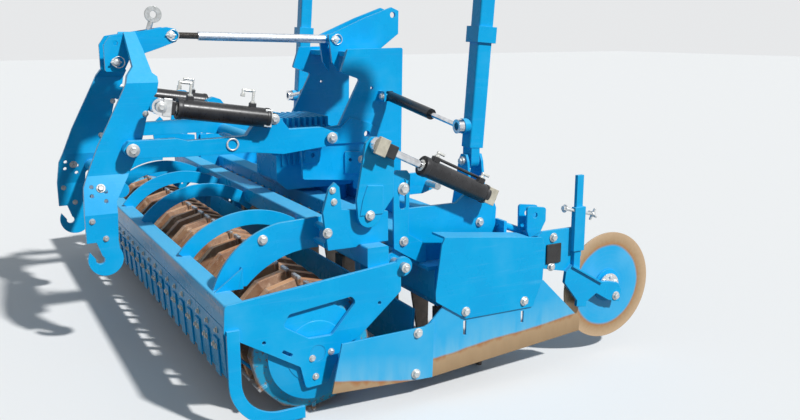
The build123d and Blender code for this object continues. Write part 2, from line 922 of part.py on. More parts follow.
# Side disc carriers: parallel arms, the bracket with its clevis, the height bar and the hub arm
carrier_outline = [
    (900, trough_top),
    (1008, 600),
    (1222, 600),
    (1222, 470),
    (1138, 412),
    (1021, 438),
    (1000, trough_top),
]
clevis_outline = [(928, 612), (926, 715), (1022, 702), (1022, 646), (996, 600), (940, 580)]
hub_arm_outline = [
    (1131, 413),
    (1162, 440),
    (1333, 340),
    (1378, 334),
    (1428, 322),
    (1452, 288),
    (1443, 232),
    (1377, 250),
    (1306, 292),
    (1253, 262),
    (1251, 239),
    (1197, 248),
    (1199, 274),
    (1125, 365),
]
hub_arm_flange = [(1162, 440), (1333, 340), (1329, 333), (1158, 433)]
socket_face = carrier_x + carrier_thick / 2
with BuildPart() as carriers:
    for side in (-1, 1):
        side_plate(carrier_outline, side * carrier_x, carrier_thick)
        side_plate(block(860, 1000, trough_top, trough_top + 30), side * (carrier_x - 42), 84)
        for clevis_x in (socket_face - 5, socket_face - 61):
            side_plate(clevis_outline, side * clevis_x, 10, holes=[(967, 674, 12)], corner=12)
        side_plate(block(940, 996, 584, 600), side * (socket_face - 33), 60)
        side_plate(block(1000, 1012, 540, 600), side * (carrier_x - 59), 118)
        for tube_x in (carrier_x - 66, carrier_x - 101):
            round_bar(point(side * tube_x, (852, 634)), point(side * tube_x, (1004, 574)), 15)
        side_plate(block(852, 866, trough_top, 650), side * (carrier_x - 83.5), 67)
        side_plate(block(1171, 1205, 412, 826), side * (socket_face + 8), 16)
        side_plate(block(1160, 1216, 500, 690), side * (socket_face + 20), 8)
        side_plate(block(1160, 1171, 500, 690), side * (socket_face + 8), 16)
        side_plate(block(1205, 1216, 500, 690), side * (socket_face + 8), 16)
        side_plate(hub_arm_outline, side * (socket_face + 8), 16)
        side_plate(hub_arm_flange, side * (socket_face + 13), 26)
        cross_bar(disc_hub, hub_pin_radius, side * (socket_face + 8), side * (disc_x - 26))
save(carriers, "disc_carriers")

for side, word in ((-1, "left"), (1, "right")):
    with BuildPart() as side_disc:
        inner = side * (disc_x - disc_thick / 2)
        outer = side * (disc_x + disc_thick / 2)
        cross_bar(disc_hub, disc_radius, inner, outer)
        cross_bar(disc_hub, 58, side * (disc_x - 16), side * (disc_x + 18))
        cross_bar(
            disc_hub,
            hub_pin_radius + running_gap,
            side * (disc_x - 40),
            side * (disc_x + 40),
            Mode.SUBTRACT,
        )
    save(side_disc, "side_disc_" + word)

# Track markers: pedestal, folding boom, its disc and its folding cylinder
marker_y = axle_y + marker_ahead
along_machine = Vector(0, 1, 0)
ear_front = marker_y + marker_ear_gap + marker_ear_thick
with BuildPart() as pedestals:
    for side in (-1, 1):
        with BuildSketch(Plane.XZ.offset(-ear_front)) as ear:
            with BuildLine():
                Polyline(
                    (side * (marker_x - 120), trough_top),
                    (side * (marker_x + 90), trough_top),
                    (side * (marker_x + 34), marker_pivot_height),
                    (side * (marker_x + 20), marker_pivot_height + 30),
                    (side * (marker_x - 20), marker_pivot_height + 30),
                    (side * (marker_x - 38), marker_pivot_height),
                    close=True,
                )
            make_face()
        extrude(ear.sketch, amount=marker_ear_thick)
        ear_shift = -(2 * marker_ear_gap + marker_ear_thick)
        extrude(ear.sketch.moved(Location((0, ear_shift, 0))), amount=marker_ear_thick)
        side_plate(
            [(910, trough_top), (1000, trough_top), (1000, trough_top + 24), (910, trough_top + 24)],
            side * (marker_x - 15),
            210,
        )
        pivot = Vector(side * marker_x, marker_y, marker_pivot_height)
        half_pin = along_machine * (marker_ear_gap + marker_ear_thick + 8)
        round_bar(pivot - half_pin, pivot + half_pin, marker_pin_radius)
save(pedestals, "marker_pedestals")

ram_y = axle_y + marker_ram_ahead
marker_ram_tip_height = marker_pivot_height + marker_ram_tip_above
for side, word in ((-1, "left"), (1, "right")):
    pivot = Vector(side * marker_x, marker_y, marker_pivot_height)
    lug_half = along_machine * marker_lug_half
    foot = boom_place(side, marker_pivot_height + marker_foot_above)
    bend = boom_place(side, marker_bend_height)
    boom_along = (bend - foot).normalized()
    across = Vector(1, 0, 0)
    end = boom_place(side, marker_end[1]) + across * (side * marker_end[0])
    with BuildPart() as boom:
        with BuildSketch(Plane(origin=foot, x_dir=across, z_dir=boom_along)) as tube:
            RectangleRounded(marker_tube, marker_tube, 8)
        extrude(tube.sketch, amount=(bend - foot).length + marker_tube / 2)
        side_plate(
            [
                (marker_ahead - marker_lug_half, marker_pivot_height),
                (marker_ahead + marker_lug_half, marker_pivot_height),
                (marker_ahead + marker_lug_half, marker_pivot_height + 80),
                (marker_ahead - marker_lug_half, marker_pivot_height + 80),
            ],
            side * marker_x,
            marker_tube - 4,
        )
        round_bar(pivot - lug_half, pivot + lug_half, marker_tube / 2 - 2)
        collar_foot = boom_place(side, marker_collar_height)
        with BuildSketch(Plane(origin=collar_foot, x_dir=across, z_dir=boom_along)) as collar:
            Rectangle(marker_tube + 22, marker_tube + 22)
        extrude(collar.sketch, amount=70)
        with BuildSketch(Plane(origin=bend, x_dir=along_machine, z_dir=end - bend)) as tip:
            RectangleRounded(marker_tube - 14, marker_tube - 14, 8)
        extrude(tip.sketch, amount=(end - bend).length)
        round_bar(end - Vector(0, 0, 60), end + Vector(0, 0, 70), 20)
        boss_at = boom_place(side, marker_ram_tip_height)
        boss_end = Vector(
            side * marker_x,
            ram_y + marker_ram.eye_width / 2 + 2,
            marker_ram_tip_height,
        )
        round_bar(boss_at, boss_end, 34)
        round_bar(pivot - lug_half * 2, pivot + lug_half * 2, marker_pin_radius + running_gap, Mode.SUBTRACT)
    save(boom, "marker_boom_" + word)

    with BuildPart() as marker_disc:
        disc_low = end + Vector(0, 0, 42)
        round_bar(disc_low, disc_low + Vector(0, 0, 6), marker_disc_radius)
        round_bar(disc_low - Vector(0, 0, 8), disc_low + Vector(0, 0, 22), 48)
        round_bar(end, end + Vector(0, 0, 90), 20 + running_gap, Mode.SUBTRACT)
    save(marker_disc, "marker_disc_" + word)

for side, word in ((-1, "left"), (1, "right")):
    base = Vector(side * marker_ram_base[0], ram_y, marker_ram_base[1])
    tip = Vector(side * marker_x, ram_y, marker_ram_tip_height)
    with BuildPart() as marker_barrel:
        ram_barrel(base, tip, along_machine, marker_ram)
    save(marker_barrel, "marker_barrel_" + word)

    with BuildPart() as marker_rod:
        ram_rod(base, tip, along_machine, marker_ram)
    save(marker_rod, "marker_rod_" + word)
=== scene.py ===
"""Finishes, fasteners and studio for the power harrow.

The machine stands in metres: X across it, +Y ahead, +Z up, with the ground at Z = 0.
Side places are listed in millimetres: (ahead of the roller axle, height above the ground).
"""

import math
from collections import namedtuple
from functools import partial, reduce

import bpy
from bpy.props import FloatProperty, FloatVectorProperty, IntProperty, PointerProperty
from mathutils import Matrix, Vector


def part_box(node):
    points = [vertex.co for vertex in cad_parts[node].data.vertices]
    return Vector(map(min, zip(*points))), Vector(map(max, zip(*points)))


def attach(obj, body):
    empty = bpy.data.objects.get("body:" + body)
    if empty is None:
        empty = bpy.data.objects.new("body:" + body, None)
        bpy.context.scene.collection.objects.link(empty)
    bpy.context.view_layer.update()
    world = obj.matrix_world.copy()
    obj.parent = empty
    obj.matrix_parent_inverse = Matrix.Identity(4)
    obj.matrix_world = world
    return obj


bl_info = {
    "name": "Power Harrow Dressing",
    "version": (1, 0, 0),
    "blender": (4, 5, 0),
    "location": "View3D > Sidebar > Harrow",
    "description": "Paints the harrow and adds its bolts, pins and fittings",
    "category": "Object",
}

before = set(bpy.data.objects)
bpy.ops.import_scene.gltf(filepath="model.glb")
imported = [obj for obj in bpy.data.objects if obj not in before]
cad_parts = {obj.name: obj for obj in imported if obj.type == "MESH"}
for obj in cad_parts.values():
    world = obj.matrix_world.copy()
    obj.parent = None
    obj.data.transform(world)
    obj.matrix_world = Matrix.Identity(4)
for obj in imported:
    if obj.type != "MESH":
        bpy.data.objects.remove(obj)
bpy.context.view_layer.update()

SIDES = (("left", -1), ("right", 1))
QUARTER_TURN = math.pi / 2
roller_low, roller_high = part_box("packer_roller")
AXLE = Vector((0, (roller_low.y + roller_high.y) / 2, (roller_low.z + roller_high.z) / 2))

# X of the outer faces that carry fasteners, in metres
PLATE_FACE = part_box("roller_end_plates")[1].x
SHIELD_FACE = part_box("side_shields")[1].x
DRUM_END = 1.434
BRACKET_FACE = 1.380
LINK_FACE = 1.395
LEVER_FACE = 1.4185
END_ARM_FACE = 1.267
ARM_FACE = 0.459
MAST_FACE = 0.342
CARRIER_FACE = 1.487
HUB_ARM_FACE = 1.503

# The roller frame's rear beam: how far its back stands behind the axle
BEAM_BACK = 0.343

# Radii on the packer roller: its lugs' crest, its grooves, where painted shade darkens them, the
# painted cover of its end rings
LUG_CREST = (0.238, 0.246)
RING_GROOVE = (0.178, 0.215)
COVER_EDGE = (0.236, 0.226)
END_RING_WIDTH = 0.108
AXLE_END_RADIUS = 0.06

# The top link's ends, ahead of the axle
LINK_REAR_EYE_END = -0.112
LINK_SHANK_END = 0.013
LINK_FRONT_EYE_START = 0.69
THREAD_WAVES = 1400.0

# A cylinder at rest: X, base and tip pins, barrel radius and length, eye width, X of the pins'
# end; length, extra width and shifts of its end plates; its fork's span from the tip pin; ports
Ram = namedtuple(
    "Ram",
    "name at_x base tip radius length eye pin_end plate extra base_shift tip_shift fork ports",
)
RAMS = (
    Ram(
        "depth", 1.440, (766, 767), (271, 1001), 0.037, 0.330, 0.030, 1.4655,
        0.046, 0.007, 0.008, 0.0, (0.026, 0.074), (0.067, 0.298),
    ),
    Ram(
        "lift", 0.507, (200, 1022), (-308, 1099), 0.044, 0.425, 0.044, 0.5390,
        0.036, -0.001, 0.028, 0.028, (0.037, 0.066), (0.101, 0.387),
    ),
)
BARREL_START = 0.018

# Turn from one copied bolt to the next, so that their heads don't stand alike
BOLT_TURN = 0.37


def colour_property(name, description, default):
    return FloatVectorProperty(
        name=name,
        description=description,
        subtype="COLOR",
        size=3,
        min=0.0,
        max=1.0,
        default=default,
    )


def number_property(name, description, default, low, high, unit="NONE"):
    return FloatProperty(
        name=name, description=description, unit=unit, default=default, min=low, max=high
    )


length_property = partial(number_property, unit="LENGTH")


def angle_property(name, description, degrees):
    return FloatProperty(
        name=name,
        description=description,
        subtype="ANGLE",
        unit="ROTATION",
        default=math.radians(degrees),
    )


class HarrowPaint(bpy.types.PropertyGroup):
    """Colours of the enamel, the bare metals and the soil"""

    enamel: colour_property("Enamel", "Blue of the painted steel", (0.003, 0.4, 0.77))
    # Pale blue: field dust on the upper faces, and painted light that makes those faces paler
    dust: colour_property("Dust", "Pale field dust on the upper faces", (0.17, 0.56, 0.8))
    rust: colour_property("Rust", "Brown of the weathered roller rings", (0.55, 0.23, 0.09))
    worn: colour_property(
        "Worn steel", "Tan of blades and rims that run in the soil", (0.45, 0.3, 0.165)
    )
    zinc: colour_property("Zinc", "Plating of the bolts and pins", (0.62, 0.63, 0.62))


class HarrowStudio(bpy.types.PropertyGroup):
    """Camera and light"""

    camera_place: FloatVectorProperty(
        name="Camera place",
        description="Where the camera stands",
        subtype="TRANSLATION",
        unit="LENGTH",
        size=3,
        default=(4.158, AXLE.y - 1.138, 1.42),
    )
    heading: angle_property("Heading", "Turn of the camera from the machine's cross axis", 28.821)
    pitch: angle_property("Pitch", "How far the camera looks down", 12.165)
    lens: number_property(
        "Lens", "Focal length on a 36 mm wide sensor, in millimetres", 37.575, 10.0, 200.0
    )
    floor_colour: colour_property("Floor", "Pale floor and backdrop", (0.84, 0.84, 0.83))
    key_strength: number_property("Key light", "Strength of the soft key light", 3.6, 0.0, 20.0)
    fill_strength: number_property(
        "Fill light", "Strength of the light from all round", 0.3, 0.0, 5.0
    )


class HarrowBolts(bpy.types.PropertyGroup):
    """Sizes of the fasteners"""

    large: length_property(
        "Large bolt", "Radius of a large bolt's head over its corners", 0.0135, 0.002, 0.1
    )
    huge: length_property(
        "Clamp bolt", "Radius of a slotted link's clamp bolt over its corners", 0.017, 0.002, 0.1
    )
    small: length_property(
        "Small bolt", "Radius of a small bolt's head over its corners", 0.009, 0.002, 0.1
    )
    scrapers: IntProperty(
        name="Scrapers",
        description="Scrapers between the roller's rings",
        default=23,
        min=1,
        max=60,
    )
    scraper_pitch: length_property(
        "Scraper pitch", "Distance from one scraper to the next", 0.12, 0.02, 0.5
    )
    lid_pitch: length_property(
        "Lid bolt pitch", "Distance between the bolts of the trough's lid", 0.118, 0.05, 0.5
    )


def place(side_x, ahead, height):
    """Turns (ahead of the axle, height) in millimetres at one X in metres into a place."""
    return Vector((side_x, AXLE.y + ahead / 1000, height / 1000))


# Materials


def new_material(name):
    """A material with its node tree, its shader and its object coordinates."""
    material = bpy.data.materials.new(name)
    material.use_nodes = True
    tree = material.node_tree
    return material, tree, tree.nodes["Principled BSDF"], object_coordinates(tree)


def tint(name):
    return tuple(getattr(bpy.context.scene.harrow_paint, name))


def object_coordinates(tree, scale=(1.0, 1.0, 1.0)):
    coordinates = tree.nodes.new("ShaderNodeTexCoord")
    mapping = tree.nodes.new("ShaderNodeMapping")
    mapping.inputs["Scale"].default_value = scale
    tree.links.new(coordinates.outputs["Object"], mapping.inputs["Vector"])
    return mapping.outputs["Vector"]


def beside(socket, kind):
    """A new node in the tree that a socket belongs to."""
    return socket.id_data.nodes.new("ShaderNode" + kind)


def feed(node, values):
    """Sets or links a node's inputs, given by their names or numbers."""
    for name, value in values.items():
        if isinstance(value, float):
            node.inputs[name].default_value = value
        elif isinstance(value, tuple):
            node.inputs[name].default_value = (*value, 1.0)
        else:
            node.id_data.links.new(value, node.inputs[name])
    return node


def separate(vector):
    return feed(beside(vector, "SeparateXYZ"), {"Vector": vector}).outputs


def noise(vector, scale, detail=3.0, roughness=0.6):
    inputs = {"Vector": vector, "Scale": scale, "Detail": detail, "Roughness": roughness}
    return feed(beside(vector, "TexNoise"), inputs).outputs["Fac"]


def ramp(factor, stops):
    node = feed(beside(factor, "ValToRGB"), {"Fac": factor})
    elements = node.color_ramp.elements
    while len(elements) < len(stops):
        elements.new(0.5)
    for element, (position, colour) in zip(elements, stops):
        element.position = position
        element.color = (*colour, 1.0)
    return node.outputs["Color"]


def grey_ramp(factor, low, high, start=0.0, end=1.0):
    inputs = {"Value": factor, "From Min": low, "From Max": high, "To Min": start, "To Max": end}
    return feed(beside(factor, "MapRange"), inputs).outputs["Result"]


def mix_colour(factor, first, second):
    node = beside(factor, "Mix")
    node.data_type = "RGBA"
    return feed(node, {0: factor, 6: first, 7: second}).outputs[2]


def maths(operation, *values):
    node = beside(next(value for value in values if not isinstance(value, float)), "Math")
    node.operation = operation
    return feed(node, dict(enumerate(values))).outputs[0]


times, plus, minus = (partial(maths, name) for name in ("MULTIPLY", "ADD", "SUBTRACT"))
less_than, more_than = (partial(maths, name) for name in ("LESS_THAN", "GREATER_THAN"))
larger, absolute, sine, root = (
    partial(maths, name) for name in ("MAXIMUM", "ABSOLUTE", "SINE", "SQRT")
)


def soft_normal(tree, reach):
    """The surface's normal, rounded over its edges."""
    bevel = tree.nodes.new("ShaderNodeBevel")
    bevel.samples = 4
    bevel.inputs["Radius"].default_value = reach
    return bevel.outputs["Normal"]


def surface(shader, colour, roughness, metallic=0.0):
    feed(shader, {"Base Color": colour, "Roughness": roughness, "Metallic": metallic})


def bump(tree, height, strength, distance, shader, soften):
    inputs = {"Height": height, "Strength": strength, "Distance": distance}
    node = feed(beside(height, "Bump"), {**inputs, "Normal": soft_normal(tree, soften)})
    feed(shader, {"Normal": node.outputs["Normal"]})


def shifted(colour, scales, lifts=(0.0, 0.0, 0.0)):
    """A colour with each channel scaled and then lifted."""
    channels = zip(colour, scales, lifts)
    return tuple(min(1.0, value * scale + lift) for value, scale, lift in channels)


def scaled(colour, share, lift=0.0):
    """A colour with all its channels scaled and lifted alike."""
    return shifted(colour, (share,) * 3, (lift,) * 3)


def background_seen(tree):
    """1 where the camera, a reflection or a see-through surface looks at the background."""
    rays = tree.nodes.new("ShaderNodeLightPath")
    seen = larger(rays.outputs["Is Camera Ray"], rays.outputs["Is Glossy Ray"])
    return larger(seen, rays.outputs["Is Transmission Ray"])


def edge_wear_and_highlight(tree, reach, strength):
    """Rises to the strength along edges: a painted highlight there, and paint worn thin."""
    geometry = tree.nodes.new("ShaderNodeNewGeometry")
    product = tree.nodes.new("ShaderNodeVectorMath")
    product.operation = "DOT_PRODUCT"
    feed(product, {0: soft_normal(tree, reach), 1: geometry.outputs["Normal"]})
    return grey_ramp(product.outputs["Value"], 0.99, 0.86, 0.0, strength)


def facing(tree):
    """The X, Y and Z of the surface's normal."""
    return separate(tree.nodes.new("ShaderNodeNewGeometry").outputs["Normal"])


def sideways(tree):
    """1 on faces that look along X, 0 on the others."""
    return grey_ramp(absolute(facing(tree)["X"]), 0.4, 0.8)


def upward(tree):
    """1 on faces that look up, 0 on upright ones."""
    return grey_ramp(facing(tree)["Z"], 0.35, 0.95)


def reach_along(axes, letter):
    """The place along an axis, where X counts from the middle to either side."""
    return absolute(axes["X"]) if letter == "X" else axes[letter]


def cross_distance(axes, along, centre):
    """Distance from the line that runs along one axis through a centre (its two other values)."""
    squares = []
    for letter, value in zip("XYZ".replace(along, ""), centre):
        away = minus(reach_along(axes, letter), value)
        squares.append(times(away, away))
    return root(plus(*squares))


def pin_mask(axes, pins):
    """1 on the pins: (axis, two centre values, radius, nearest and farthest place along it)."""
    masks = []
    for along, centre, radius, near, far in pins:
        reach = reach_along(axes, along)
        inside = less_than(cross_distance(axes, along, centre), radius)
        inside = times(inside, more_than(reach, near))
        masks.append(times(inside, less_than(reach, far)))
    return reduce(larger, masks)


def cross_pin(ahead, height, radius, near, far=3.0):
    """A plated pin along X for pin_mask, its place in millimetres from the axle and the ground."""
    return ("X", (AXLE.y + ahead / 1000, height / 1000), radius, near, far)


def enamel(name, dust_and_top_light_share=0.5, pins=(), scraped=(), scuffed=0.22):
    """Blue enamel, paler on top from dust and painted top light, and paler at its edges from a
    painted highlight and thin paint, with plated pins and a scraped band.
    """
    material, tree, shader, here = new_material(name)
    axes = separate(here) if pins or scraped else None
    broad = noise(here, 4.0, 5.0)
    fine = noise(here, 70.0)
    base = tint("enamel")
    deep = shifted(base, (1.0, 0.9, 0.95))
    pale = shifted(base, (1.0, 1.06, 1.03), (0.03, 0.01, 0.0))
    colour = ramp(broad, [(0.3, deep), (0.52, base), (0.75, pale)])
    # Upward faces turn towards the pale blue dust colour: field dust, and painted light that makes
    # the tops paler
    upper = upward(tree)
    speckle = grey_ramp(fine, 0.3, 0.75, 0.55, 1.0)
    paler_mix = times(times(upper, speckle), dust_and_top_light_share)
    specks = grey_ramp(noise(here, 38.0, 6.0, 0.75), 0.68, 0.74, 0.0, 0.25)
    paler_mix = larger(paler_mix, specks)
    colour = mix_colour(paler_mix, colour, tint("dust"))
    streaks = noise(object_coordinates(tree, (8.0, 3.0, 60.0)), 1.0, 5.0, 0.65)
    scuffs = grey_ramp(streaks, 0.56, 0.72, 0.0, scuffed)
    lighter = shifted(base, (1.0, 1.15, 1.08), (0.08, 0.03, 0.0))
    # Painted highlight and thin paint along the edges, and the real scuffs, turn the blue lighter
    scuffs_and_edge_highlight = larger(scuffs, edge_wear_and_highlight(tree, 0.004, 0.55))
    colour = mix_colour(scuffs_and_edge_highlight, colour, lighter)
    rough = grey_ramp(broad, 0.3, 0.75, 0.22, 0.36)
    rough = plus(rough, times(paler_mix, 0.6))
    if scraped:
        patches = noise(object_coordinates(tree, (3.0, 3.0, 30.0)), 1.0, 5.0, 0.7)
        patches = grey_ramp(patches, 0.4, 0.55)
        band = times(grey_ramp(axes["Z"], *scraped), patches)
        rearward = less_than(axes["Y"], AXLE.y - BEAM_BACK)
        upright = minus(0.75, upper)
        band = times(times(band, rearward), upright)
        colour = mix_colour(band, colour, (0.5, 0.47, 0.52))
    metallic = 0.0
    if pins:
        mask = pin_mask(axes, pins)
        metal = ramp(fine, [(0.3, scaled(tint("zinc"), 0.7)), (0.65, tint("zinc"))])
        colour = mix_colour(mask, colour, metal)
        metallic = times(mask, 0.55)
    surface(shader, colour, rough, metallic)
    shader.inputs["Specular IOR Level"].default_value = 0.18
    bump(tree, fine, 0.05, 0.0015, shader, 0.003)
    return material


def banded_enamel(name, low_at, low_height, rise):
    """Enamel worn to tan steel below a wavy edge, which starts at a place and rises ahead of it."""
    material, tree, shader, here = new_material(name)
    axes = separate(here)
    broad = noise(here, 5.0, 3.0, 0.55)
    fine = noise(here, 70.0)
    streaks = noise(object_coordinates(tree, (20.0, 26.0, 5.0)), 1.0, 3.0, 0.55)
    along = minus(axes["Y"], low_at)
    edge = plus(times(along, rise), low_height)
    edge = plus(edge, grey_ramp(broad, 0.2, 0.8, -0.006, 0.006))
    below = minus(edge, axes["Z"])
    bare = grey_ramp(below, -0.004, 0.004)
    base = tint("enamel")
    pale = shifted(base, (1.0, 1.1, 1.0), (0.07, 0.02, 0.0))
    blue = ramp(broad, [(0.35, base), (0.8, pale)])
    faded = shifted(base, (1.0, 1.18, 0.98), (0.16, 0.04, 0.0))
    rubbed = grey_ramp(streaks, 0.3, 0.65, 0.2, 0.8)
    wear = times(grey_ramp(below, -0.11, 0.0), rubbed)
    blue = mix_colour(wear, blue, faded)
    # Painted highlight along the edges, with some edge wear
    blue = mix_colour(edge_wear_and_highlight(tree, 0.004, 0.5), blue, pale)
    worn = tint("worn")
    burnt = shifted(worn, (0.9, 0.6, 0.42))
    soil = shifted(worn, (0.72, 0.7, 0.66))
    uneven = grey_ramp(streaks, 0.3, 0.7, -0.11, 0.11)
    depth = plus(grey_ramp(below, 0.0, 0.1), uneven)
    metal = ramp(depth, [(0.0, burnt), (0.17, worn), (0.95, soil)])
    colour = mix_colour(bare, blue, metal)
    rough = grey_ramp(fine, 0.3, 0.7, 0.28, 0.42)
    surface(shader, colour, rough, grey_ramp(bare, 0.0, 1.0, 0.0, 0.3))
    bump(tree, fine, 0.05, 0.0015, shader, 0.002)
    return material


def rimmed_enamel(name, centre, paint_radius, rim_radius, axis="X"):
    """A disc's enamel with faint turning marks and a rim worn to bare steel."""
    material, tree, shader, here = new_material(name)
    broad = noise(here, 6.0, 3.0, 0.5)
    fine = noise(here, 75.0)
    middle = [abs(centre.x), centre.y, centre.z]
    del middle["XYZ".index(axis)]
    radius = cross_distance(separate(here), axis, middle)
    wavy = plus(radius, grey_ramp(broad, 0.25, 0.75, -0.003, 0.003))
    bare = grey_ramp(wavy, paint_radius - 0.005, paint_radius + 0.006)
    base = tint("enamel")
    pale = shifted(base, (1.0, 1.1, 1.04), (0.06, 0.02, 0.0))
    blue = ramp(broad, [(0.35, base), (0.7, pale)])
    turning = sine(times(radius, 330.0))
    blue = mix_colour(grey_ramp(turning, 0.3, 1.0, 0.0, 0.15), blue, pale)
    worn = tint("worn")
    burnt = shifted(worn, (0.95, 0.68, 0.45))
    out = grey_ramp(wavy, paint_radius, rim_radius)
    out = plus(out, grey_ramp(fine, 0.3, 0.7, -0.1, 0.1))
    metal = ramp(out, [(0.05, burnt), (0.35, worn), (0.9, scaled(worn, 1.18, 0.05))])
    colour = mix_colour(bare, blue, metal)
    rough = grey_ramp(fine, 0.3, 0.7, 0.3, 0.46)
    surface(shader, colour, rough, grey_ramp(bare, 0.0, 1.0, 0.0, 0.25))
    bump(tree, fine, 0.05, 0.001, shader, 0.002)
    return material


def weathered_steel(name):
    """Rust-brown roller rings, pale polished lugs, painted shade in the grooves and on the rings'
    flanks, painted highlights on their edges, blue end discs.
    """
    material, tree, shader, here = new_material(name)
    axes = separate(here)
    broad = noise(here, 8.0, 6.0, 0.68)
    fine = noise(here, 55.0, 5.0, 0.7)
    radius = cross_distance(axes, "X", (AXLE.y, AXLE.z))
    crest = grey_ramp(radius, *LUG_CREST)
    # Painted shade: darker deep in the grooves and on the rings' flanks, where the rings shade each
    # other
    groove_shade = grey_ramp(radius, *RING_GROOVE, 0.85, 0.0)
    rust = tint("rust")
    dark = scaled(rust, 0.22)
    tan = shifted(rust, (1.36, 1.75, 2.2))
    brown = ramp(broad, [(0.28, dark), (0.42, rust), (0.58, tan)])
    flank_and_groove_shade = larger(times(sideways(tree), 0.7), groove_shade)
    brown = mix_colour(flank_and_groove_shade, brown, scaled(dark, 0.4))
    soil = grey_ramp(noise(here, 21.0, 6.0, 0.75), 0.56, 0.66, 0.0, 0.6)
    brown = mix_colour(soil, brown, (0.62, 0.42, 0.27))
    # Painted highlight along the rings' edges, with some wear
    brown = mix_colour(edge_wear_and_highlight(tree, 0.005, 0.5), brown, (0.55, 0.45, 0.36))
    bright = ramp(fine, [(0.35, (0.3, 0.31, 0.31)), (0.62, (0.66, 0.68, 0.68))])
    polish = times(crest, grey_ramp(fine, 0.28, 0.5, 0.5, 1.0))
    colour = mix_colour(polish, brown, bright)
    across = absolute(axes["X"])
    end_disc = more_than(across, DRUM_END - 0.003)
    end_ring = more_than(across, DRUM_END - END_RING_WIDTH)
    chipped = grey_ramp(fine, 0.62, 0.56, 0.15, 1.0)
    covered = times(grey_ramp(radius, *COVER_EDGE), chipped)
    painted = larger(end_disc, times(end_ring, covered))
    # Painted highlight along the end cover's edges, with worn paint
    cover = mix_colour(edge_wear_and_highlight(tree, 0.006, 0.9), (0.02, 0.42, 0.68), (0.4, 0.68, 0.8))
    axle_end = less_than(radius, AXLE_END_RADIUS)
    cover = mix_colour(axle_end, cover, tint("enamel"))
    colour = mix_colour(painted, colour, cover)
    rough = grey_ramp(fine, 0.3, 0.7, 0.42, 0.66)
    surface(shader, colour, rough, grey_ramp(polish, 0.0, 1.0, 0.1, 0.8))
    bump(tree, fine, 0.3, 0.003, shader, 0.003)
    return material


def threaded_tube(name):
    """Bright plated tube with a dark threaded shank at its rear end and blue eyes."""
    material, tree, shader, here = new_material(name)
    fine = noise(here, 90.0)
    ahead = minus(separate(here)["Y"], AXLE.y)
    shank = less_than(ahead, LINK_SHANK_END)
    rear_eye = less_than(ahead, LINK_REAR_EYE_END)
    front_eye = more_than(ahead, LINK_FRONT_EYE_START)
    plated = ramp(fine, [(0.3, (0.58, 0.62, 0.68)), (0.65, (0.78, 0.82, 0.87))])
    dark = ramp(fine, [(0.3, (0.05, 0.045, 0.04)), (0.65, (0.12, 0.11, 0.1))])
    colour = mix_colour(shank, plated, dark)
    eyes = larger(rear_eye, front_eye)
    colour = mix_colour(eyes, colour, tint("enamel"))
    rough = grey_ramp(fine, 0.3, 0.7, 0.26, 0.4)
    surface(shader, colour, rough, grey_ramp(eyes, 0.0, 1.0, 0.85, 0.0))
    threads = sine(times(ahead, THREAD_WAVES))
    ridges = times(threads, minus(shank, rear_eye))
    bump(tree, ridges, 0.5, 0.002, shader, 0.0015)
    return material


def bare_metal(name, colour, roughness, metallic=1.0, scratch=0.05):
    """Plated or polished metal with faint mottling and fine scratches."""
    material, tree, shader, here = new_material(name)
    mottle = noise(here, 30.0, 4.0)
    fine = noise(here, 180.0)
    mottled = ramp(mottle, [(0.3, scaled(colour, 0.78)), (0.65, scaled(colour, 1.12))])
    rough = grey_ramp(fine, 0.3, 0.7, roughness * 0.75, roughness * 1.3)
    surface(shader, mottled, rough, metallic)
    bump(tree, fine, scratch, 0.001, shader, 0.0015)
    return material


def zinc_plate(name):
    return bare_metal(name, tint("zinc"), 0.4, 0.6)


def black_finish(name, colour=(0.012, 0.012, 0.014), roughness=0.3):
    """Satin black paint or rubber with a little dust."""
    material, tree, shader, here = new_material(name)
    broad = noise(here, 12.0, 5.0)
    fine = noise(here, 90.0)
    paler_mix = ramp(broad, [(0.4, colour), (0.85, scaled(colour, 1.5, 0.02))])
    rough = grey_ramp(fine, 0.3, 0.7, roughness * 0.8, roughness * 1.35)
    surface(shader, paler_mix, rough)
    bump(tree, fine, 0.06, 0.001, shader, 0.002)
    return material


def dress(node, material):
    """Gives a carried-over node its finish."""
    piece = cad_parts[node]
    piece.data.materials.clear()
    piece.data.materials.append(material)


# Modelling helpers


def nothing_selected():
    if bpy.context.mode != "OBJECT":
        bpy.ops.object.mode_set(mode="OBJECT")
    bpy.ops.object.select_all(action="DESELECT")


def begin_edit(piece):
    nothing_selected()
    piece.select_set(True)
    bpy.context.view_layer.objects.active = piece
    bpy.ops.object.mode_set(mode="EDIT")
    bpy.ops.mesh.select_all(action="DESELECT")
    bpy.ops.mesh.select_mode(type="FACE")


def end_edit():
    bpy.ops.object.mode_set(mode="OBJECT")


def select_ends(piece, upper_only=False):
    """Selects the faces that look up, and those that look down unless told otherwise."""
    bpy.ops.object.mode_set(mode="OBJECT")
    for polygon in piece.data.polygons:
        height = polygon.normal.z if upper_only else abs(polygon.normal.z)
        polygon.select = height > 0.9
    bpy.ops.object.mode_set(mode="EDIT")


def settled():
    """Applies the active object's place, turn and scale to its mesh."""
    bpy.ops.object.transform_apply(location=True, rotation=True, scale=True)
    return bpy.context.active_object


def inset_top(thickness, lift):
    bpy.ops.mesh.inset(thickness=thickness)
    bpy.ops.transform.translate(value=(0, 0, lift))


def cylinder(sides, radius, depth, start=0.0):
    nothing_selected()
    bpy.ops.mesh.primitive_cylinder_add(
        vertices=sides, radius=radius, depth=depth, location=(0, 0, start + depth / 2)
    )
    return settled()


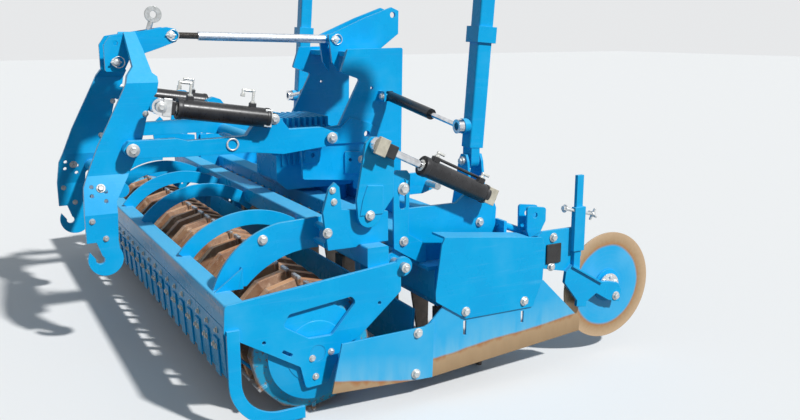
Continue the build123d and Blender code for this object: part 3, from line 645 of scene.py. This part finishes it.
def hex_bolt(radius, washer=True):
    """A hex head with chamfered corners on its washer, standing along +Z from the origin."""
    lift = radius * 0.22 if washer else 0.0
    head = cylinder(6, radius, radius * 0.75, lift)
    begin_edit(head)
    select_ends(head, upper_only=True)
    inset_top(radius * 0.14, radius * 0.1)
    inset_top(radius * 0.3, -radius * 0.05)
    end_edit()
    if not washer:
        return head
    ring = cylinder(20, radius * 1.45, lift)
    begin_edit(ring)
    select_ends(ring, upper_only=True)
    inset_top(radius * 0.1, lift * 0.2)
    end_edit()
    return join_parts([head, ring])


def round_part(radius, depth, edge, start=0.0, sides=28):
    """A round bar along +Z from the start height, with both rims bevelled."""
    bar = cylinder(sides, radius, depth, start)
    begin_edit(bar)
    select_ends(bar)
    bpy.ops.mesh.bevel(offset=edge, segments=2, affect="EDGES")
    end_edit()
    bpy.ops.object.shade_smooth_by_angle(angle=math.radians(32))
    return bar


def block_part(size, edge, centre=(0.0, 0.0, 0.0)):
    """A block with bevelled edges round a centre."""
    nothing_selected()
    bpy.ops.mesh.primitive_cube_add(size=1.0, location=centre, scale=size)
    part = settled()
    begin_edit(part)
    bpy.ops.mesh.select_all(action="SELECT")
    bpy.ops.mesh.bevel(offset=edge, segments=2, affect="EDGES")
    end_edit()
    return part


def join_parts(parts):
    nothing_selected()
    for part in parts:
        part.select_set(True)
    bpy.context.view_layer.objects.active = parts[0]
    if len(parts) > 1:
        bpy.ops.object.join()
    return bpy.context.active_object


def moved(part, *matrices):
    """Moves a part's mesh by each matrix in turn and leaves its object at the origin."""
    for matrix in matrices:
        part.data.transform(matrix)
    part.data.update()
    return part


def shift(*where):
    return Matrix.Translation(where[0] if len(where) == 1 else where)


def turned(angle, axis):
    return Matrix.Rotation(angle, 4, axis)


def axes_matrix(origin, first, third):
    """A matrix that turns +X to the first direction and +Z to the third."""
    second = third.cross(first)
    return shift(origin) @ Matrix((first, second, third)).transposed().to_4x4()


def port_elbow(pipe_radius, rise, reach, drop=0.0):
    """A hydraulic elbow with its nuts: up along +Z, over towards +X and down again by the drop."""
    rim, nut_rim = 0.0005, pipe_radius * 0.2
    nut = pipe_radius * 1.8
    parts = [
        round_part(pipe_radius, rise, rim, 0.0, 16),
        round_part(nut, nut, nut_rim, 0.0, 6),
    ]
    bend = shift(0, 0, rise)
    corners = [bend]
    arm = round_part(pipe_radius, reach, rim, 0.0, 16)
    parts.append(moved(arm, bend @ turned(QUARTER_TURN, "Y")))
    if drop:
        end = shift(reach, 0, rise)
        corners.append(end)
        parts.append(moved(round_part(pipe_radius, drop, rim, -drop, 16), end))
        nut = round_part(pipe_radius * 1.6, pipe_radius * 2.4, nut_rim, -drop, 6)
        parts.append(moved(nut, end))
    for corner in corners:
        nothing_selected()
        bpy.ops.mesh.primitive_uv_sphere_add(segments=16, ring_count=10, radius=pipe_radius * 1.12)
        bpy.ops.object.shade_smooth()
        parts.append(moved(bpy.context.active_object, corner))
    return join_parts(parts)


def ring_part(ring_radius, wire_radius):
    """A wire ring that lies across +Z."""
    nothing_selected()
    bpy.ops.mesh.primitive_circle_add(
        vertices=8, radius=wire_radius, location=(ring_radius, 0, 0), rotation=(QUARTER_TURN, 0, 0)
    )
    ring = settled()
    begin_edit(ring)
    bpy.ops.mesh.select_mode(type="EDGE")
    bpy.ops.mesh.select_all(action="SELECT")
    bpy.ops.mesh.spin(steps=24, angle=2 * math.pi, center=(0, 0, 0), axis=(0, 0, 1))
    bpy.ops.mesh.select_all(action="SELECT")
    bpy.ops.mesh.remove_doubles(threshold=0.0001)
    bpy.ops.mesh.normals_make_consistent(inside=False)
    bpy.ops.mesh.select_mode(type="FACE")
    end_edit()
    bpy.ops.object.shade_smooth()
    return ring


def scatter(pattern, places):
    """Copies a pattern that stands along +Z to each (place, direction) and joins the copies."""
    copies = []
    for index, (where, direction) in enumerate(places):
        copy = pattern.copy()
        copy.data = pattern.data.copy()
        bpy.context.scene.collection.objects.link(copy)
        turn = Vector(direction).to_track_quat("Z", "Y").to_matrix().to_4x4()
        uneven = turned(BOLT_TURN * index, "Z")
        copies.append(moved(copy, shift(where) @ turn @ uneven))
    joined = join_parts(copies)
    bpy.data.objects.remove(pattern)
    return joined


def both_sides(faces):
    """Places and outward directions, on the left and the right, of each (face X, ahead, height)."""
    return [
        (place(side * face, ahead, height), (side, 0, 0))
        for side in (-1, 1)
        for face, ahead, height in faces
    ]


def finish_piece(piece, name, body, material):
    piece.name = name
    piece.data.materials.clear()
    piece.data.materials.append(material)
    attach(piece, body)


# Operators


class HARROW_OT_finishes(bpy.types.Operator):
    """Gives every carried-over node its painted, plated or weathered finish"""

    bl_idname = "harrow.finishes"
    bl_label = "Finishes"

    def execute(self, context):
        plain = {
            "roller_frame": enamel("dusty_enamel", 0.7, scraped=(0.435, 0.462)),
            "side_shields": enamel("scuffed_enamel", scuffed=0.4),
            "packer_roller": weathered_steel("ring_rust"),
            "top_link": threaded_tube("threaded_link"),
            "hinge_shaft": bare_metal("pale_shaft", (0.72, 0.73, 0.74), 0.34),
            "input_shaft": bare_metal("polished_stub", (0.75, 0.76, 0.78), 0.16),
            "marker_pedestals": enamel(
                "marker_pedestals_enamel", pins=(("Y", (1.024, 0.842), 0.0202, -2.0, 2.0),)
            ),
        }
        # Plated pins across each node: ahead, height, radius, nearest and farthest X
        pinned = {
            "side_brackets": ((362, 532, 0.0182, 1.3805), (766, 767, 0.0142, 1.3805)),
            "depth_levers": ((271, 1001, 0.0142, 1.416),),
            "lift_arms": ((200, 1022, 0.0142, 0.4595),),
            "hook_frame": (
                (-424, 912, 0.0222, 0.3955),
                (-308, 1099, 0.0142, 0.3955),
                (-136, 1396, 0.0142, 0.0, 0.0545),
                (-136, 1396, 0.0142, 0.0692),
                (-198, 1493, 0.058, -1.0, 0.03),
                (-212, 1447, 0.032, -1.0, 0.03),
            ),
            "headstock": ((514, 910, 0.0222, 0.4592),),
            "top_bracket": ((722, 1372, 0.0142, 0.0, 0.0535), (722, 1372, 0.0142, 0.0702)),
            "hitch_beam": ((1052, 640, 0.0184, 0.4802),),
            "disc_carriers": ((1400, 305, 0.0202, 0.0, 1.4868),),
        }
        blue = enamel("blue_enamel")
        forged = bare_metal("forged_tines", (0.24, 0.2, 0.17), 0.55, 0.7, 0.2)
        black = black_finish("cylinder_black")
        bright = bare_metal("polished_rod", (0.75, 0.76, 0.78), 0.16)
        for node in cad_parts:
            if node in plain:
                dress(node, plain[node])
            elif node in pinned:
                pins = [cross_pin(*pin) for pin in pinned[node]]
                dress(node, enamel(node + "_enamel", pins=pins))
            elif node.startswith("rotor_"):
                dress(node, forged)
            elif "barrel" in node:
                dress(node, black)
            elif "_rod" in node:
                dress(node, bright)
            else:
                dress(node, blue)
        for node, name, worn_height, rise in (
            ("skid_plates", "skid_wear", 0.078, 0.088),
            ("rear_wings", "wing_wear", 0.072, -0.19),
        ):
            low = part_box(node)[0]
            dress(node, banded_enamel(name, low.y, low.z + worn_height, rise))
        for word, _ in SIDES:
            for node, name, painted, axis in (
                ("side_disc_", "disc_wear_", 0.75, "X"),
                ("marker_disc_", "marker_wear_", 0.76, "Z"),
            ):
                low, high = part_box(node + word)
                centre, rim = (low + high) / 2, (high.y - low.y) / 2
                dress(node + word, rimmed_enamel(name + word, centre, rim * painted, rim, axis))
        return {"FINISHED"}


class HARROW_OT_side_bolts(bpy.types.Operator):
    """Adds the bolts of the shields, skid plates, wings, end plates, brackets and levers"""

    bl_idname = "harrow.side_bolts"
    bl_label = "Side bolts"

    # Name, body, size, then (outer face X, ahead, height) of each bolt
    rows = (
        ("shield_bolts", "harrow", "large", (
            (SHIELD_FACE, 603, 333), (SHIELD_FACE, 889, 331),
            (SHIELD_FACE, 386, 282), (SHIELD_FACE, 376, 118),
        )),
        ("bearing_bolts", "roller_carriage", "small", (
            (PLATE_FACE, -23, 234), (PLATE_FACE, 53, 246), (PLATE_FACE, -11, 160),
        )),
        ("lever_foot_bolts", "roller_carriage", "small", (
            (BRACKET_FACE, 106, 840), (BRACKET_FACE, 111, 796),
        )),
        ("side_arm_bolts", "roller_carriage", "large", (
            (BRACKET_FACE, 82, 680), (END_ARM_FACE, -132, 655), (LEVER_FACE, 241, 738),
        )),
        ("link_bolts", "harrow", "huge", ((LINK_FACE, 397, 822),)),
        ("bracket_bolts", "harrow", "large", (
            (LINK_FACE, 399, 613), (BRACKET_FACE, 764, 647), (MAST_FACE, 735, 771),
            (HUB_ARM_FACE, 1419, 263), (CARRIER_FACE, 1066, 569), (CARRIER_FACE, 1059, 443),
        )),
    )

    def execute(self, context):
        sizes = context.scene.harrow_bolts
        zinc = zinc_plate("zinc_bolts")
        for name, body, size, faces in self.rows:
            bolts = scatter(hex_bolt(getattr(sizes, size)), both_sides(faces))
            finish_piece(bolts, name, body, zinc)
        return {"FINISHED"}


class HARROW_OT_leg_bolts(bpy.types.Operator):
    """Adds the bolts through the hook frame's legs, heads outside and nuts inside"""

    bl_idname = "harrow.leg_bolts"
    bl_label = "Leg bolts"

    # Middle of the leg's plate X, ahead, height, lean of its face (rise over run)
    rows = {
        "large": ((0.407, -559, 745, 0.406),),
        "small": (
            (0.450, -611, 615, 0.0),
            (0.450, -560, 534, 0.0),
            (0.385, -416, 888, 0.0),
            (0.385, -345, 1060, 0.0),
        ),
    }
    half_thickness = 0.0102

    def execute(self, context):
        sizes = context.scene.harrow_bolts
        zinc = bare_metal("zinc_leg_bolts", (0.42, 0.43, 0.43), 0.5, 0.5)
        for size, bolts in self.rows.items():
            places = []
            for side in (-1, 1):
                for middle, ahead, height, lean in bolts:
                    outward = Vector((side, 0, lean)).normalized()
                    centre = place(side * middle, ahead, height)
                    for normal in (outward, -outward):
                        places.append((centre + normal * self.half_thickness, normal))
            piece = scatter(hex_bolt(getattr(sizes, size)), places)
            finish_piece(piece, "leg_bolts_" + size, "hook_frame", zinc)
        return {"FINISHED"}


class HARROW_OT_pin_caps(bpy.types.Operator):
    """Adds the washers and bolts that close the hinge pins"""

    bl_idname = "harrow.pin_caps"
    bl_label = "Pin caps"

    # Name, body, washer radius, (pin end X, ahead, height) of the pin
    rows = (
        ("front_arm_caps", "harrow", 0.027, (0.473, 514, 910)),
        ("rear_arm_caps", "hook_frame", 0.029, (0.473, -424, 912)),
        ("lift_front_caps", "lift_arms", 0.024, (0.537, 200, 1022)),
        ("lift_rear_caps", "hook_frame", 0.024, (0.539, -308, 1099)),
        ("roller_hinge_caps", "harrow", 0.019, (1.476, 362, 532)),
    )
    washer_depth = 0.006

    def execute(self, context):
        zinc = zinc_plate("zinc_caps")
        for name, body, radius, end in self.rows:
            washer = round_part(radius, self.washer_depth, 0.0012)
            bolt = moved(hex_bolt(radius * 0.55, False), shift(0, 0, self.washer_depth))
            caps = scatter(join_parts([washer, bolt]), both_sides((end,)))
            finish_piece(caps, name, body, zinc)
        return {"FINISHED"}


class HARROW_OT_lid_bolts(bpy.types.Operator):
    """Adds the rows of bolts along both flanges of the trough's lid"""

    bl_idname = "harrow.lid_bolts"
    bl_label = "Lid bolts"

    rear_row, front_row, lid_height = 485, 915, 516
    half_row = 1.34
    pedestal = (0.88, 1.14)

    def execute(self, context):
        sizes = context.scene.harrow_bolts
        zinc = bare_metal("zinc_lid_bolts", (0.42, 0.42, 0.41), 0.45, 0.6)
        count = int(self.half_row / sizes.lid_pitch)
        covered_from, covered_to = self.pedestal
        places = []
        for ahead in (self.rear_row, self.front_row):
            for index in range(-count, count + 1):
                along = index * sizes.lid_pitch
                if ahead == self.front_row and covered_from < abs(along) < covered_to:
                    continue
                places.append((place(along, ahead, self.lid_height), (0, 0, 1)))
        bolts = scatter(hex_bolt(sizes.small), places)
        finish_piece(bolts, "lid_bolts", "harrow", zinc)
        return {"FINISHED"}


class HARROW_OT_scraper_blades(bpy.types.Operator):
    """Adds the scrapers' holders and bolts along their strip behind the roller"""

    bl_idname = "harrow.scraper_blades"
    bl_label = "Scraper holders"

    holder_size = (0.058, 0.006, 0.145)
    holder_lean = 0.054
    # Bolts of one holder: X from its scraper's middle, ahead, height
    bolts = ((-0.013, -345.5, 300), (0.017, -345.5, 300), (0.017, -342.3, 362))
    bolt_direction = (0, -1, 0.046)

    def execute(self, context):
        sizes = context.scene.harrow_bolts
        zinc = bare_metal("zinc_scraper_bolts", (0.5, 0.5, 0.46), 0.45, 0.4)
        places, holders = [], []
        for index in range(sizes.scrapers):
            middle = (index - (sizes.scrapers - 1) / 2) * sizes.scraper_pitch
            holder = block_part(self.holder_size, 0.0015)
            seat = shift(place(middle + 0.002, -340.0, 259))
            holders.append(moved(holder, seat @ turned(self.holder_lean, "X")))
            for along, ahead, height in self.bolts:
                places.append((place(middle + along, ahead, height), self.bolt_direction))
        holders = join_parts(holders)
        paint = enamel("holder_enamel")
        finish_piece(holders, "scraper_holders", "roller_carriage", paint)
        bolts = scatter(hex_bolt(sizes.small * 0.9), places)
        finish_piece(bolts, "scraper_bolts", "roller_carriage", zinc)
        return {"FINISHED"}


class HARROW_OT_roller_caps(bpy.types.Operator):
    """Adds the round dished discs over the packer roller's ends"""

    bl_idname = "harrow.roller_caps"
    bl_label = "Roller caps"

    # Radius, depth and rim of the disc and of the boss on it
    rounds = ((0.187, 0.003, 0.001), (0.118, 0.0055, 0.002))

    def execute(self, context):
        caps = []
        for side in (-1, 1):
            end = shift(side * DRUM_END, AXLE.y, AXLE.z) @ turned(side * QUARTER_TURN, "Y")
            for radius, depth, edge in self.rounds:
                caps.append(moved(round_part(radius, depth, edge, 0.0, 64), end))
        paint = enamel("roller_cap_enamel", 0.0)
        finish_piece(join_parts(caps), "roller_caps", "packer_roller", paint)
        return {"FINISHED"}


class HARROW_OT_ram_fittings(bpy.types.Operator):
    """Adds the eye plates, forks, gland rings, ports and steel pipes of the hydraulic cylinders"""

    bl_idname = "harrow.ram_fittings"
    bl_label = "Cylinder fittings"

    def add_ports(self, ram, start, along, up, out, groups):
        """Adds the seats and elbows of one barrel's ports, and a depth ram's pipe between them."""
        for port in ram.ports:
            seat = block_part((0.03, 0.026, 0.026), 0.003, (0, 0, ram.radius + 0.004))
            groups["rings"].append(moved(seat, axes_matrix(start + along * port, along, up)))
            at = start + along * port + up * (ram.radius + 0.012)
            if ram.name == "lift":
                elbow = moved(port_elbow(0.0065, 0.058, 0.05, 0.03), axes_matrix(at, along, up))
            else:
                elbow = moved(port_elbow(0.006, 0.022, 0.03), axes_matrix(at, -along, up))
            groups["ports"].append(elbow)
        if ram.name == "depth":
            rear, front = ram.ports
            pipe = round_part(0.006, front - rear, 0.001, rear, 16)
            at = start + up * (ram.radius + 0.014) - out * 0.02
            groups["rings"].append(moved(pipe, axes_matrix(at, up, along)))

    def add_side(self, ram, side, groups):
        """Adds one cylinder's plates, fork, rings and gland to the groups."""
        start, end = place(side * ram.at_x, *ram.base), place(side * ram.at_x, *ram.tip)
        along = (end - start).normalized()
        up = Vector((1, 0, 0)).cross(along)
        if up.z < 0:
            up.negate()
        out = Vector((side, 0, 0))
        thick = ram.pin_end - ram.at_x - ram.eye / 2 + ram.extra
        for key, origin, ahead, offset in (
            ("base_plates", start, along, ram.base_shift),
            ("tip_plates", end, -along, ram.tip_shift),
        ):
            size = (ram.plate, ram.radius * 1.8, thick)
            plate = block_part(size, 0.002, (offset, 0, ram.eye / 2 + thick / 2))
            groups[key].append(moved(plate, axes_matrix(origin, ahead, out)))
        near, far = ram.fork
        size = (far - near, ram.radius * 1.4, ram.eye * 1.05)
        fork = block_part(size, 0.004, ((near + far) / 2, 0, 0))
        groups["forks"].append(moved(fork, axes_matrix(end, -along, out)))
        barrel_end = BARREL_START + ram.length
        barrel = axes_matrix(start, up, along)
        for reach, depth, stands in ((barrel_end - 0.024, 0.024, 0.003), (0.02, 0.016, 0.002)):
            ring = round_part(ram.radius + stands, depth, 0.002, reach, 36)
            groups["rings"].append(moved(ring, barrel))
        gland = round_part(ram.radius * 0.62, 0.002, 0.0005, barrel_end, 36)
        groups["ports"].append(moved(gland, barrel))
        self.add_ports(ram, start, along, up, out, groups)

    def execute(self, context):
        silver = bare_metal("silver_plate", (0.7, 0.71, 0.7), 0.4, 0.6)
        cream = bare_metal("cream_plate", (0.56, 0.52, 0.42), 0.45, 0.5, 0.15)
        zinc = bare_metal("zinc_ports", (0.74, 0.74, 0.7), 0.3, 0.7)
        black = black_finish("fork_black", (0.016, 0.016, 0.018), 0.38)
        for ram in RAMS:
            groups = {"base_plates": [], "tip_plates": [], "ports": [], "rings": [], "forks": []}
            for side in (-1, 1):
                self.add_side(ram, side, groups)
            plate = cream if ram.name == "depth" else silver
            for key, body, material, slot in (
                ("base_plates", "_barrels", plate, "zinc_plate"),
                ("tip_plates", "_rods", plate, "zinc_plate"),
                ("ports", "_barrels", zinc, "zinc_plate"),
                ("rings", "_barrels", black, "black_paint"),
                ("forks", "_rods", black, "black_paint"),
            ):
                piece = join_parts(groups[key])
                finish_piece(piece, ram.name + "_ram_" + key, ram.name + body, material)
        return {"FINISHED"}


class HARROW_OT_marker_bolts(bpy.types.Operator):
    """Adds the bolts that close the marker hinges and the marker cylinders' pins"""

    bl_idname = "harrow.marker_bolts"
    bl_label = "Marker bolts"

    # X, ahead, height of each pin's rear end
    rows = ((1.024, 904, 842), (0.372, 843, 1090))

    def execute(self, context):
        sizes = context.scene.harrow_bolts
        zinc = zinc_plate("zinc_marker_bolts")
        places = [(where, (0, -1, 0)) for where, _ in both_sides(self.rows)]
        bolts = scatter(hex_bolt(sizes.large), places)
        finish_piece(bolts, "marker_pin_bolts", "harrow", zinc)
        return {"FINISHED"}


class HARROW_OT_disc_fittings(bpy.types.Operator):
    """Adds the hub nuts and flanges of the side discs, the black pads and the height pins"""

    bl_idname = "harrow.disc_fittings"
    bl_label = "Side disc fittings"

    hub_nuts, hub_circle = 6, 0.041
    # Places of the height pin's head and knob: ahead, height
    pin_start, pin_end, pin_x = (1112, 690), (1262, 651), 1.499

    def add_hub(self, word, side, zinc, blue):
        low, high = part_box("side_disc_" + word)
        face = high.x if side > 0 else low.x
        hub = Vector((face, (low.y + high.y) / 2, (low.z + high.z) / 2))
        places = []
        for index in range(self.hub_nuts):
            turn = math.radians(360 / self.hub_nuts * index + 20)
            spoke = Vector((0, math.cos(turn), math.sin(turn))) * self.hub_circle
            places.append((hub + spoke, (side, 0, 0)))
        nuts = scatter(hex_bolt(0.009, False), places)
        cap = scatter(round_part(0.056, 0.0012, 0.0005), [(hub, (side, 0, 0))])
        piece = join_parts([nuts, cap])
        finish_piece(piece, "hub_nuts_" + word, "side_disc_" + word, zinc)
        seat = hub - Vector((side * 0.015, 0, 0))
        flange = scatter(round_part(0.073, 0.006, 0.002, 0.0, 48), [(seat, (side, 0, 0))])
        finish_piece(flange, "hub_flange_" + word, "side_disc_" + word, blue)

    def height_pin(self, side):
        """The pin that locks the height bar, with its hex head and its cross-shaped knob."""
        start = place(side * self.pin_x, *self.pin_start)
        end = place(side * self.pin_x, *self.pin_end)
        along, length = (end - start).normalized(), (end - start).length
        parts = [
            round_part(0.007, length, 0.001, 0.0, 16),
            moved(hex_bolt(0.012), turned(math.pi, "X")),
            round_part(0.012, 0.016, 0.002, length - 0.004, 16),
        ]
        for turn in (0.3, 0.3 + QUARTER_TURN):
            arm = block_part((0.056, 0.010, 0.010), 0.003, (0, 0, length + 0.003))
            parts.append(moved(arm, turned(turn, "Z")))
        return moved(join_parts(parts), axes_matrix(start, Vector((1, 0, 0)), along))

    def execute(self, context):
        zinc = bare_metal("zinc_hub", (0.7, 0.71, 0.71), 0.32, 0.7)
        blue = enamel("hub_enamel", 0.1)
        black = black_finish("pad_black", (0.014, 0.013, 0.013), 0.55)
        for word, side in SIDES:
            self.add_hub(word, side, zinc, blue)
        pads, pins = [], []
        for side in (-1, 1):
            pad = block_part((0.008, 0.076, 0.084), 0.003)
            pads.append(moved(pad, shift(place(side * (CARRIER_FACE + 0.004), 1068, 500))))
            pins.append(self.height_pin(side))
        finish_piece(join_parts(pads), "carrier_pads", "harrow", black)
        finish_piece(join_parts(pins), "height_pins", "harrow", zinc)
        return {"FINISHED"}


class HARROW_OT_link_pins(bpy.types.Operator):
    """Adds the seed drill's pin, the linch pins of the top links and the rings on the arms"""

    bl_idname = "harrow.link_pins"
    bl_label = "Link pins"

    # Name, body, half the new pin's length or 0, X of its linch pins' seats, ahead, height
    rows = (
        ("drill_pin", "hook_frame", 0.098, 0.084, -398, 1274),
        ("link_rear_pin", "hook_frame", 0.0, 0.070, -136, 1396),
        ("link_front_pin", "harrow", 0.0, 0.070, 722, 1372),
    )
    pin_radius = 0.0125

    def linch_pin(self, face, collar_start):
        """A collar with a linch pin across it and the pin's ring, along +Z."""
        ring_at = shift(0, 0, face + 0.006)
        return join_parts([
            round_part(0.021, 0.005, 0.001, collar_start, 24),
            moved(ring_part(0.026, 0.0022), shift(0, 0.012, face + 0.006)),
            moved(round_part(0.004, 0.05, 0.001, -0.025, 12), turned(QUARTER_TURN, "X"), ring_at),
            round_part(0.011, 0.012, 0.002, face, 18),
        ])

    def execute(self, context):
        zinc = bare_metal("zinc_link_pins", (0.72, 0.73, 0.72), 0.35, 0.6)
        for name, body, half, face, ahead, height in self.rows:
            parts = []
            if half:
                pin = round_part(self.pin_radius, half * 2, 0.002, -half, 24)
                parts.append(moved(pin, turned(QUARTER_TURN, "Y")))
            for side in (1, -1):
                linch_pin = self.linch_pin(face, face - 0.006 if half else face)
                parts.append(moved(linch_pin, turned(side * QUARTER_TURN, "Y")))
            piece = moved(join_parts(parts), shift(place(0, ahead, height)))
            finish_piece(piece, name, body, zinc)
        shackles = []
        for side in (-1, 1):
            seat = shift(place(side * (ARM_FACE + 0.004), 22, 908))
            shackles.append(moved(ring_part(0.026, 0.0045), turned(QUARTER_TURN, "Y"), seat))
        finish_piece(join_parts(shackles), "arm_shackles", "lift_arms", zinc)
        return {"FINISHED"}


class HARROW_OT_stage(bpy.types.Operator):
    """Adds the pale floor, the soft light and the camera"""

    bl_idname = "harrow.stage"
    bl_label = "Stage"

    floor_size = 80
    # Share of the floor's colour that the light bouncing off it takes
    floor_bounce = 0.19

    def execute(self, context):
        studio = context.scene.harrow_studio
        nothing_selected()
        bpy.ops.mesh.primitive_plane_add(size=self.floor_size, location=(0, 0, 0))
        floor = context.active_object
        floor.name = "studio_floor"
        material = bpy.data.materials.new("pale_floor")
        material.use_nodes = True
        tree = material.node_tree
        shader = tree.nodes["Principled BSDF"]
        shader.inputs["Specular IOR Level"].default_value = 0.2
        pale = tuple(studio.floor_colour)
        colour = mix_colour(background_seen(tree), scaled(pale, self.floor_bounce), pale)
        surface(shader, colour, 0.9)
        floor.data.materials.append(material)

        bpy.ops.object.light_add(type="SUN", location=(3, 2, 6))
        key = context.active_object
        key.name = "key_light"
        key.data.energy = studio.key_strength
        key.data.angle = math.radians(3)
        key.rotation_euler = Vector((0.8, 0.35, 0.8)).to_track_quat("Z", "Y").to_euler()

        world = bpy.data.worlds.new("studio_world")
        context.scene.world = world
        world.use_nodes = True
        tree = world.node_tree
        light = tree.nodes["Background"]
        light.inputs["Color"].default_value = (0.8, 0.9, 1.0, 1.0)
        light.inputs["Strength"].default_value = studio.fill_strength
        seen = tree.nodes.new("ShaderNodeBackground")
        seen.inputs["Color"].default_value = (0.8, 0.81, 0.82, 1.0)
        choice = tree.nodes.new("ShaderNodeMixShader")
        feed(choice, {0: background_seen(tree), 1: light.outputs[0], 2: seen.outputs[0]})
        feed(tree.nodes["World Output"], {"Surface": choice.outputs[0]})

        ahead = Vector((-math.cos(studio.heading), math.sin(studio.heading), 0))
        ahead *= math.cos(studio.pitch)
        ahead.z = -math.sin(studio.pitch)
        bpy.ops.object.camera_add(location=studio.camera_place)
        camera = context.active_object
        camera.name = "photo_camera"
        camera.rotation_euler = ahead.to_track_quat("-Z", "Y").to_euler()
        camera.data.lens = studio.lens
        camera.data.sensor_width = 36.0
        camera.data.clip_end = 200.0
        context.scene.camera = camera
        context.scene.view_settings.view_transform = "Standard"
        return {"FINISHED"}


class HARROW_PT_panel(bpy.types.Panel):
    """Lists the harrow's operators and sizes"""

    bl_label = "Harrow"
    bl_idname = "HARROW_PT_panel"
    bl_space_type = "VIEW_3D"
    bl_region_type = "UI"
    bl_category = "Harrow"

    def draw(self, context):
        layout = self.layout
        scene = context.scene
        for group in (scene.harrow_paint, scene.harrow_bolts, scene.harrow_studio):
            box = layout.box()
            for name in group.__annotations__:
                box.prop(group, name)
        for operator in OPERATORS:
            layout.operator(operator.bl_idname)


GROUPS = {
    "harrow_paint": HarrowPaint,
    "harrow_studio": HarrowStudio,
    "harrow_bolts": HarrowBolts,
}
OPERATORS = (
    HARROW_OT_finishes,
    HARROW_OT_side_bolts,
    HARROW_OT_leg_bolts,
    HARROW_OT_pin_caps,
    HARROW_OT_lid_bolts,
    HARROW_OT_scraper_blades,
    HARROW_OT_roller_caps,
    HARROW_OT_ram_fittings,
    HARROW_OT_marker_bolts,
    HARROW_OT_disc_fittings,
    HARROW_OT_link_pins,
    HARROW_OT_stage,
)


register_classes, unregister_classes = bpy.utils.register_classes_factory(
    (*GROUPS.values(), *OPERATORS, HARROW_PT_panel)
)


def register():
    register_classes()
    for name, group in GROUPS.items():
        setattr(bpy.types.Scene, name, PointerProperty(type=group))


def unregister():
    for name in GROUPS:
        delattr(bpy.types.Scene, name)
    unregister_classes()


def main():
    register()
    for operator in OPERATORS:
        group, name = operator.bl_idname.split(".")
        getattr(getattr(bpy.ops, group), name)()


if __name__ == "__main__":
    main()
